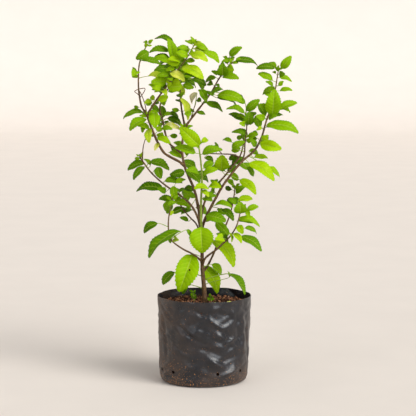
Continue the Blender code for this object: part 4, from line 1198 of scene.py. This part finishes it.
wood = {
    "stepLength": 3.0,
    "swellEvery": 13.0,
    "swell": 0.16,
    "rough": 0.07,
    "collar": 0.3,
    "collarLength": 4.0,
    "footFlare": 1.15,
    "flareLength": 22.0,
    "slender": 1.12,
    "stalkStart": 0.62,
    "stalkEnd": 0.42,
    "ribEnd": 0.14,
    "ribShares": (0.0, 0.12, 0.3, 0.5, 0.7),
    # Heights between which the bark turns from brown to green
    "greenBetween": (430.0, 520.0),
    "frontGreenBetween": (150.0, 190.0),
    "wiryRadius": 0.6,
    "wiryTwig": ((-89.5, -12.0, 401.0), (-93.0, -15.0, 405.0), (-96.5, -17.0, 408.0),
                 (-91.0, -18.0, 411.0), (-83.0, -18.0, 412.5), (-82.0, -19.0, 410.0),
                 (-85.5, -20.0, 404.0), (-88.5, -17.0, 400.0)),
    "tipSizes": ((0.0, 6.5), (-3.5, 10.0)),
}


def smoothRoute(route):
    points = [route[0] * 2 - route[1], *route, route[-1] * 2 - route[-2]]
    found = []
    for k in range(1, len(points) - 2):
        before, start, end, after = points[k - 1:k + 3]
        steps = max(2, round((end - start).length / wood["stepLength"]))
        for step in range(steps):
            t = step / steps
            spot = 2 * start + (end - before) * t
            spot += (2 * before - 5 * start + 4 * end - after) * t * t
            spot += (3 * start - before - 3 * end + after) * t ** 3
            found.append(spot / 2)
    found.append(points[-2])
    return found


def growWood(node, stem):
    lines = []
    for number, (thick, thin, route) in enumerate(stem["shoots"]):
        line = []
        walked = 0.0
        spots = smoothRoute(route)
        total = pathLength(spots)
        for k, spot in enumerate(spots):
            if k:
                walked += (spot - spots[k - 1]).length
            radius = thick + (thin - thick) * walked / total
            joint = (walked % wood["swellEvery"]) / wood["swellEvery"] - 0.5
            radius *= 1 + wood["swell"] * math.exp(-(joint * 9) ** 2)
            radius *= 1 + wood["rough"] * noise.noise(spot / 5.0 + Vector((number, 0, 0)))
            if node != "main_stem" or number:
                radius *= wood["slender"] * (1 + wood["collar"] * math.exp(-walked / wood["collarLength"]))
            else:
                radius += wood["footFlare"] * math.exp(-abs(spot.z - soil["level"]) / wood["flareLength"])
            line.append((spot, radius))
        end = spots[-1] + (spots[-1] - spots[-2]).normalized() * thin * 0.8
        line.append((end, thin * 0.45))
        lines.append(line)
    if node == "upper_left_stem":
        twig = smoothRoute([Vector(spot) for spot in wood["wiryTwig"]])
        lines.append([(spot, wood["wiryRadius"]) for spot in twig])
    return tubeThrough(node + "Wood", lines, 3 if node == "main_stem" else 2)


# Leaf stalks: each leaves its stem upwards, enters the blade and goes on as the rib
def growStalks(node, spots):
    lines = []
    stalkStart, stalkEnd, ribEnd = (wood[key] for key in ("stalkStart", "stalkEnd", "ribEnd"))
    for spot in spots:
        hold, base, tip, upper = (spot[key] for key in ("hold", "base", "tip", "upper"))
        length = (tip - base).length
        reach = (base - hold).length
        start = ((base - hold).normalized() + Vector((0, 0, 0.35))).normalized() * reach * 0.8
        finish = ((tip - base).normalized() + upper * 0.5).normalized() * min(reach, 9.0) * 0.8
        thin = min(1.0, 0.5 + length / 60.0) * (1.0 + 0.5 * min(1.0, max(0.0, reach - 12.0) / 12.0))
        line = []
        for step in range(6):
            t = step / 6
            point = hold * (2 * t ** 3 - 3 * t ** 2 + 1) + start * (t ** 3 - 2 * t ** 2 + t)
            point += base * (3 * t ** 2 - 2 * t ** 3) + finish * (t ** 3 - t ** 2)
            line.append((point, (stalkStart + (stalkEnd - stalkStart) * t) * thin))
        for share in wood["ribShares"]:
            lift = archLift(length, share) - 0.25 - length * spot["curl"] * share ** 4
            radius = (stalkEnd + (ribEnd - stalkEnd) * share / wood["ribShares"][-1]) * thin
            line.append((base.lerp(tip, share) + upper * lift, radius))
        lines.append(line)
    return tubeThrough(node + "Stalks", lines, 1)


# Young pairs of leaves where each shoot ends
def shootTips(stem, looks):
    spots = []
    for _, thin, route in stem["shoots"]:
        if thin < growth["extraThin"]:
            continue
        end = route[-1]
        axis = (end - route[-2]).normalized()
        turn = looks.uniform(0, 3.1)
        for level, size in wood["tipSizes"]:
            turn += math.pi / 2
            for flip in (0.0, math.pi):
                heading = axis.orthogonal().normalized()
                heading.rotate(Quaternion(axis, turn + flip))
                heading = (heading + axis * looks.uniform(0.5, 1.1)).normalized()
                hold = end + axis * level
                base = hold + heading * 1.6
                tip = base + heading * size * looks.uniform(0.8, 1.15)
                if all(cadBox[0][k] <= tip[k] * mm <= cadBox[1][k] for k in range(3)):
                    spots.append({"hold": hold, "base": base, "tip": tip, "wide": size * 0.42,
                                  "side": 1, "wave": looks.uniform(0, 6)})
    return spots


def barkMaterial():
    paint = Paint("brown woody bark")
    stretch = paint.add("Mapping", Vector=paint.place, Scale=(1.0, 1.0, 0.22))
    streaks = paint.noise(900.0, 5.0, 0.6, where=stretch.outputs[0])
    patches = paint.noise(130.0, 3.0, 0.6)
    old = paint.ramp(streaks, (0.3, tone(52, 35, 20)), (0.5, tone(90, 65, 38)), (0.7, tone(142, 112, 70)))
    old = paint.mix(paint.mask(patches, 0.5, 0.75), old, tone(82, 52, 34))
    fresh = paint.ramp(streaks, (0.3, tone(98, 116, 34)), (0.6, tone(142, 158, 62)),
                       (0.8, tone(170, 172, 92)))
    paint.bump(streaks, 0.5, 0.0006)
    return paint.finish(paint.mix(paint.attribute("young"), old, fresh), 0.62, 0.35)


def stalkMaterial():
    paint = Paint("pale green leaf stalk")
    cloudy = paint.noise(260.0, 3.0)
    paint.bump(cloudy, 0.3, 0.0004)
    greens = ((0.35, tone(112, 138, 34)), (0.55, tone(150, 176, 60)), (0.75, tone(150, 130, 74)))
    return paint.finish(paint.ramp(cloudy, *greens), 0.5)


def leafMaterial():
    paint = Paint("veined basil leaf")
    across, along, _ = paint.axes(paint.add("UVMap", uv_map="UVMap").outputs[0])
    sideways = paint.maths("ABSOLUTE", paint.scaled(across, 2.0, -1.0))
    slant = paint.scaled(paint.maths("POWER", sideways, 1.3), -0.2, along)
    wave = paint.maths("FRACT", paint.scaled(slant, 8.0))
    ridge = paint.maths("ABSOLUTE", paint.scaled(wave, 2.0, -1.0))
    rib = paint.clamped(sideways, -14.0, 1.25)
    rim = paint.clamped(sideways, 12.0, -11.2)
    fading = paint.scaled(paint.clamped(sideways, -1.0, 1.0), 0.8, 0.1)
    veins = paint.scaled(paint.clamped(ridge, 3.6, -2.6), fading)
    cloudy = paint.noise(120.0, 4.0, 0.6)
    fine = paint.noise(700.0, 3.0, 0.6)
    varied = paint.scaled(paint.scaled(cloudy, 1.0, -0.5), 0.22, paint.attribute("shade"))
    varied = paint.scaled(paint.scaled(paint.attribute("own"), 1.0, -0.5), 0.1, varied)
    base = paint.ramp(varied, (0.0, tone(66, 110, 0)), (0.3, tone(112, 158, 0)), (0.6, tone(150, 192, 0)),
                      (0.76, tone(178, 210, 4)), (0.9, tone(236, 234, 96)), (1.0, tone(255, 244, 232)))
    for mask, share, colour in ((paint.mask(fine, 0.45, 0.7), 0.2, tone(160, 190, 10)),
                                (veins, 0.5, tone(204, 230, 50)), (rib, 0.55, tone(206, 224, 90)),
                                (rim, 0.12, tone(92, 130, 0))):
        base = paint.mix(paint.scaled(mask, share), base, colour)
    # A small bite in the leaf in front of the trunk, drawn as a dark brown spot: painted shade standing in
    # for the hole
    flat = paint.add("VectorMath", operation="MULTIPLY")
    paint.feed(flat.inputs[0], paint.place)
    paint.feed(flat.inputs[1], (1.0, 0.0, 1.0))
    away = paint.add("VectorMath", operation="DISTANCE")
    paint.feed(away.inputs[0], flat.outputs["Vector"])
    paint.feed(away.inputs[1], (-0.0208, 0.0, 0.1595))
    base = paint.mix(paint.clamped(away.outputs["Value"], -1600.0, 2.6), base, tone(70, 50, 12))
    relief = paint.scaled(fine, 0.35, paint.scaled(ridge, -0.6, paint.scaled(rib, -0.8)))
    paint.bump(relief, 0.7, 0.0008)
    glow = paint.add("BsdfTranslucent", Color=base)
    both = paint.add("MixShader", Fac=0.38)
    paint.feed(both.inputs[1], paint.shader.outputs[0])
    paint.feed(both.inputs[2], glow.outputs[0])
    paint.feed(paint.out.inputs["Surface"], both.outputs[0])
    return paint.finish(base, 0.5, 0.09)


def dressStem(node, spots, shades, looks):
    foliage = growFoliage(node + "Blades", spots, shades, blades["thickness"], looks)
    stalks = growStalks(node, spots)
    smoothShade(stalks)
    wear(stalks, stalkGreen)
    trunk = growWood(node, stems[node])
    smoothShade(trunk)
    wear(trunk, bark)
    brown, green = wood["frontGreenBetween" if node == "front_stem" else "greenBetween"]
    heights = [v.co.z / mm for v in trunk.data.vertices]
    fillAttribute(trunk, "young", [min(1.0, max(0.0, (z - brown) / (green - brown))) for z in heights])
    words = node.split("_")
    name = words[0] + "".join(word.title() for word in words[1:]) + "Growth"
    growthPiece = joinInto(name, [trunk, stalks, foliage])
    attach(growthPiece, "root")
    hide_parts(node)
    return growthPiece


leafSpots = placeAllLeaves()
bark = barkMaterial()
stalkGreen = stalkMaterial()
leafGreen = leafMaterial()
masters = {kind: masterBlade(kind) for kind in blades["grids"]}
looks = random.Random(blades["seed"])
stemPieces = []
for node in stems:
    spots = leafSpots[node]
    shades = []
    for spot in spots:
        usual = blades["shade"] + blades["shadeUpwards"] * (spot["tip"].z - 250) / 250
        # Leaves further back are painted darker: painted shade inside the plant
        usual -= blades["paintedShadeBackwards"] * spot["base"].y
        usual += looks.uniform(-blades["shadeSpread"], blades["shadeSpread"])
        usual = min(blades["shadeMost"], max(blades["shadeLeast"], usual))
        shades.append(usual if spot["shade"] is None else spot["shade"])
    tips = shootTips(stems[node], looks)
    shades += [looks.uniform(0.5, 0.7) for _ in tips]
    stemPieces.append(dressStem(node, spots + tips, shades, looks))
print("stems:", sum(len(piece.data.polygons) for piece in stemPieces), "faces")


# Fallen leaves and weed seedlings on the soil

# Place across and back, turn, length and shade
litter = {
    "fallen_leaf_1": (-26.0, -24.0, 20.0, 12.0, 0.8),
    "fallen_leaf_2": (-9.0, -31.0, 150.0, 11.0, 0.9),
    "fallen_leaf_3": (16.0, -33.0, 75.0, 13.0, 0.86),
    "fallen_leaf_4": (34.0, -22.0, 200.0, 12.0, 0.93),
}

# Place across and back, and height
weeds = {
    "weed_sprig_1": (-15.0, -2.0, 15.0),
    "weed_sprig_2": (9.5, -9.5, 9.0),
}


def modelLitter(name, row):
    across, back, turn, length, shade = row
    heading = Vector((math.cos(math.radians(turn)), math.sin(math.radians(turn)), 0.0))
    base, tip = (Vector((across, back, 0.0)) + heading * length * sign for sign in (-0.5, 0.5))
    for end in (base, tip):
        end.z = crumbledHeight(end.x, end.y) + 1.5
    spot = {"hold": base, "base": base, "tip": tip, "wide": length * 0.48, "side": 1, "wave": 1.0}
    blade = growFoliage("fallenLeaf" + name[-1], [spot], [shade], 0.4, looks)
    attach(blade, "root")
    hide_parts(name)


def modelWeed(name, row):
    across, back, height = row
    ground = crumbledHeight(across, back)
    foot = Vector((across, back, ground))
    top = Vector((across - 1.0, back + 0.5, ground + height))
    root = Vector((across, back, ground - 4.0))
    spots = []
    for share in (1.0, 0.86, 0.72, 0.58, 0.44, 0.3):
        turn = looks.uniform(0, 6)
        for sign in (-1, 1):
            reach = looks.uniform(2.6, 5.4)
            hold = foot.lerp(top, share)
            heading = Vector((math.cos(turn) * sign, math.sin(turn) * sign, looks.uniform(0.1, 0.8)))
            heading.normalize()
            spots.append({"hold": hold, "base": hold + heading * 0.8, "tip": hold + heading * (0.8 + reach),
                          "wide": reach * 0.62, "side": 1, "wave": turn})
    shades = (looks.uniform(0.05, 0.4) for _ in spots)
    foliage = growFoliage(name + "Blades", spots, shades, 0.3, looks)
    line = [(root, 0.6), (root.lerp(top, 0.4) + Vector((0.6, 0, 0)), 0.55), (top, 0.4)]
    stalk = tubeThrough(name + "Stalk", [line], 1)
    smoothShade(stalk)
    wear(stalk, stalkGreen)
    weed = joinInto("weedSeedling" + name[-1], [stalk, foliage])
    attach(weed, "root")
    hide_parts(name)


for name, row in litter.items():
    modelLitter(name, row)
for name, row in weeds.items():
    modelWeed(name, row)
for master in masters.values():
    remove(master)
print("litter and weeds done")


# Pale floor, soft light and the camera at the photograph's height

studio = {
    "camera": (0.0049, -2.3, 0.505),
    "pitch": 6.47,
    "focalPixels": 1652.0,
    "photoPixels": 416.0,
    "floor": (0.74, 0.665, 0.6),
    "sweep": 1.5,
    "sweepSteps": 12,
    "sky": (0.95, 0.95, 0.95),
    "skyStrength": 0.5,
    # Place, softness in degrees, power and colour
    "suns": {
        "keyLight": ((0.66, -0.56, 0.66), 30.0, 1.7, (1.0, 0.975, 0.92)),
        "sheenLight": ((0.72, -0.72, 0.38), 58.0, 2.3, (0.86, 0.93, 1.0)),
        "fillLight": ((-0.82, -0.9, 0.42), 45.0, 0.6, (0.88, 0.94, 1.0)),
    },
}


# A floor that sweeps up behind the plant in a quarter round
def modelFloor():
    deselectAll()
    bpy.ops.mesh.primitive_plane_add(size=40.0, location=(0, -15.0, -0.0002))
    floor = bpy.context.object
    floor.name = "paleFloor"
    bpy.ops.object.transform_apply(location=True, rotation=True, scale=True)
    bpy.ops.object.mode_set(mode="EDIT")
    selectEdges(floor, lambda spot: spot.y > 4.9)
    steps = studio["sweepSteps"]
    for step in range(steps):
        last, turn = (math.pi / 2 * k / steps for k in (step, step + 1))
        move = Vector((0, math.sin(turn) - math.sin(last), math.cos(last) - math.cos(turn))) * studio["sweep"]
        bpy.ops.mesh.extrude_region_move(TRANSFORM_OT_translate={"value": move})
    bpy.ops.mesh.extrude_region_move(TRANSFORM_OT_translate={"value": (0, 0, 3.0)})
    bpy.ops.object.mode_set(mode="OBJECT")
    smoothShade(floor)
    return floor


def floorMaterial():
    paint = Paint("pale floor")
    # The upright part of the sweep takes a darker colour: painted shade that evens it out against the lamps,
    # which light it more than the floor
    near, patch, paintedShadeWall = (tuple(v * share for v in studio["floor"]) for share in (1.0, 0.97, 0.8))
    base = paint.ramp(paint.noise(9.0, 3.0), (0.3, near), (0.7, patch))
    _, _, z = paint.axes()
    return paint.finish(paint.mix(paint.clamped(z, 0.9, -0.05), base, paintedShadeWall), 0.8)


def addSun(name, place, softness, power, colour):
    lamp = bpy.data.lights.new(name, "SUN")
    lamp.angle = math.radians(softness)
    lamp.energy = power
    lamp.color = colour
    holder = linkNew(name, lamp)
    holder.location = place
    holder.rotation_euler = (-Vector(place)).to_track_quat("-Z", "Y").to_euler()


floor = modelFloor()
wear(floor, floorMaterial())
for name, sun in studio["suns"].items():
    addSun(name, *sun)
world = bpy.data.worlds.new("paleSurround")
bpy.context.scene.world = world
world.use_nodes = True
surround = world.node_tree.nodes["Background"]
surround.inputs["Color"].default_value = (*studio["sky"], 1.0)
surround.inputs["Strength"].default_value = studio["skyStrength"]
bpy.context.scene.view_settings.view_transform = "Standard"
lens = bpy.data.cameras.new("photoView")
lens.sensor_width = 36.0
lens.lens = studio["focalPixels"] / studio["photoPixels"] * lens.sensor_width
lens.clip_start = 0.05
viewer = linkNew("photoView", lens)
viewer.location = studio["camera"]
viewer.rotation_euler = (math.radians(90.0 - studio["pitch"]), 0.0, 0.0)
bpy.context.scene.camera = viewer
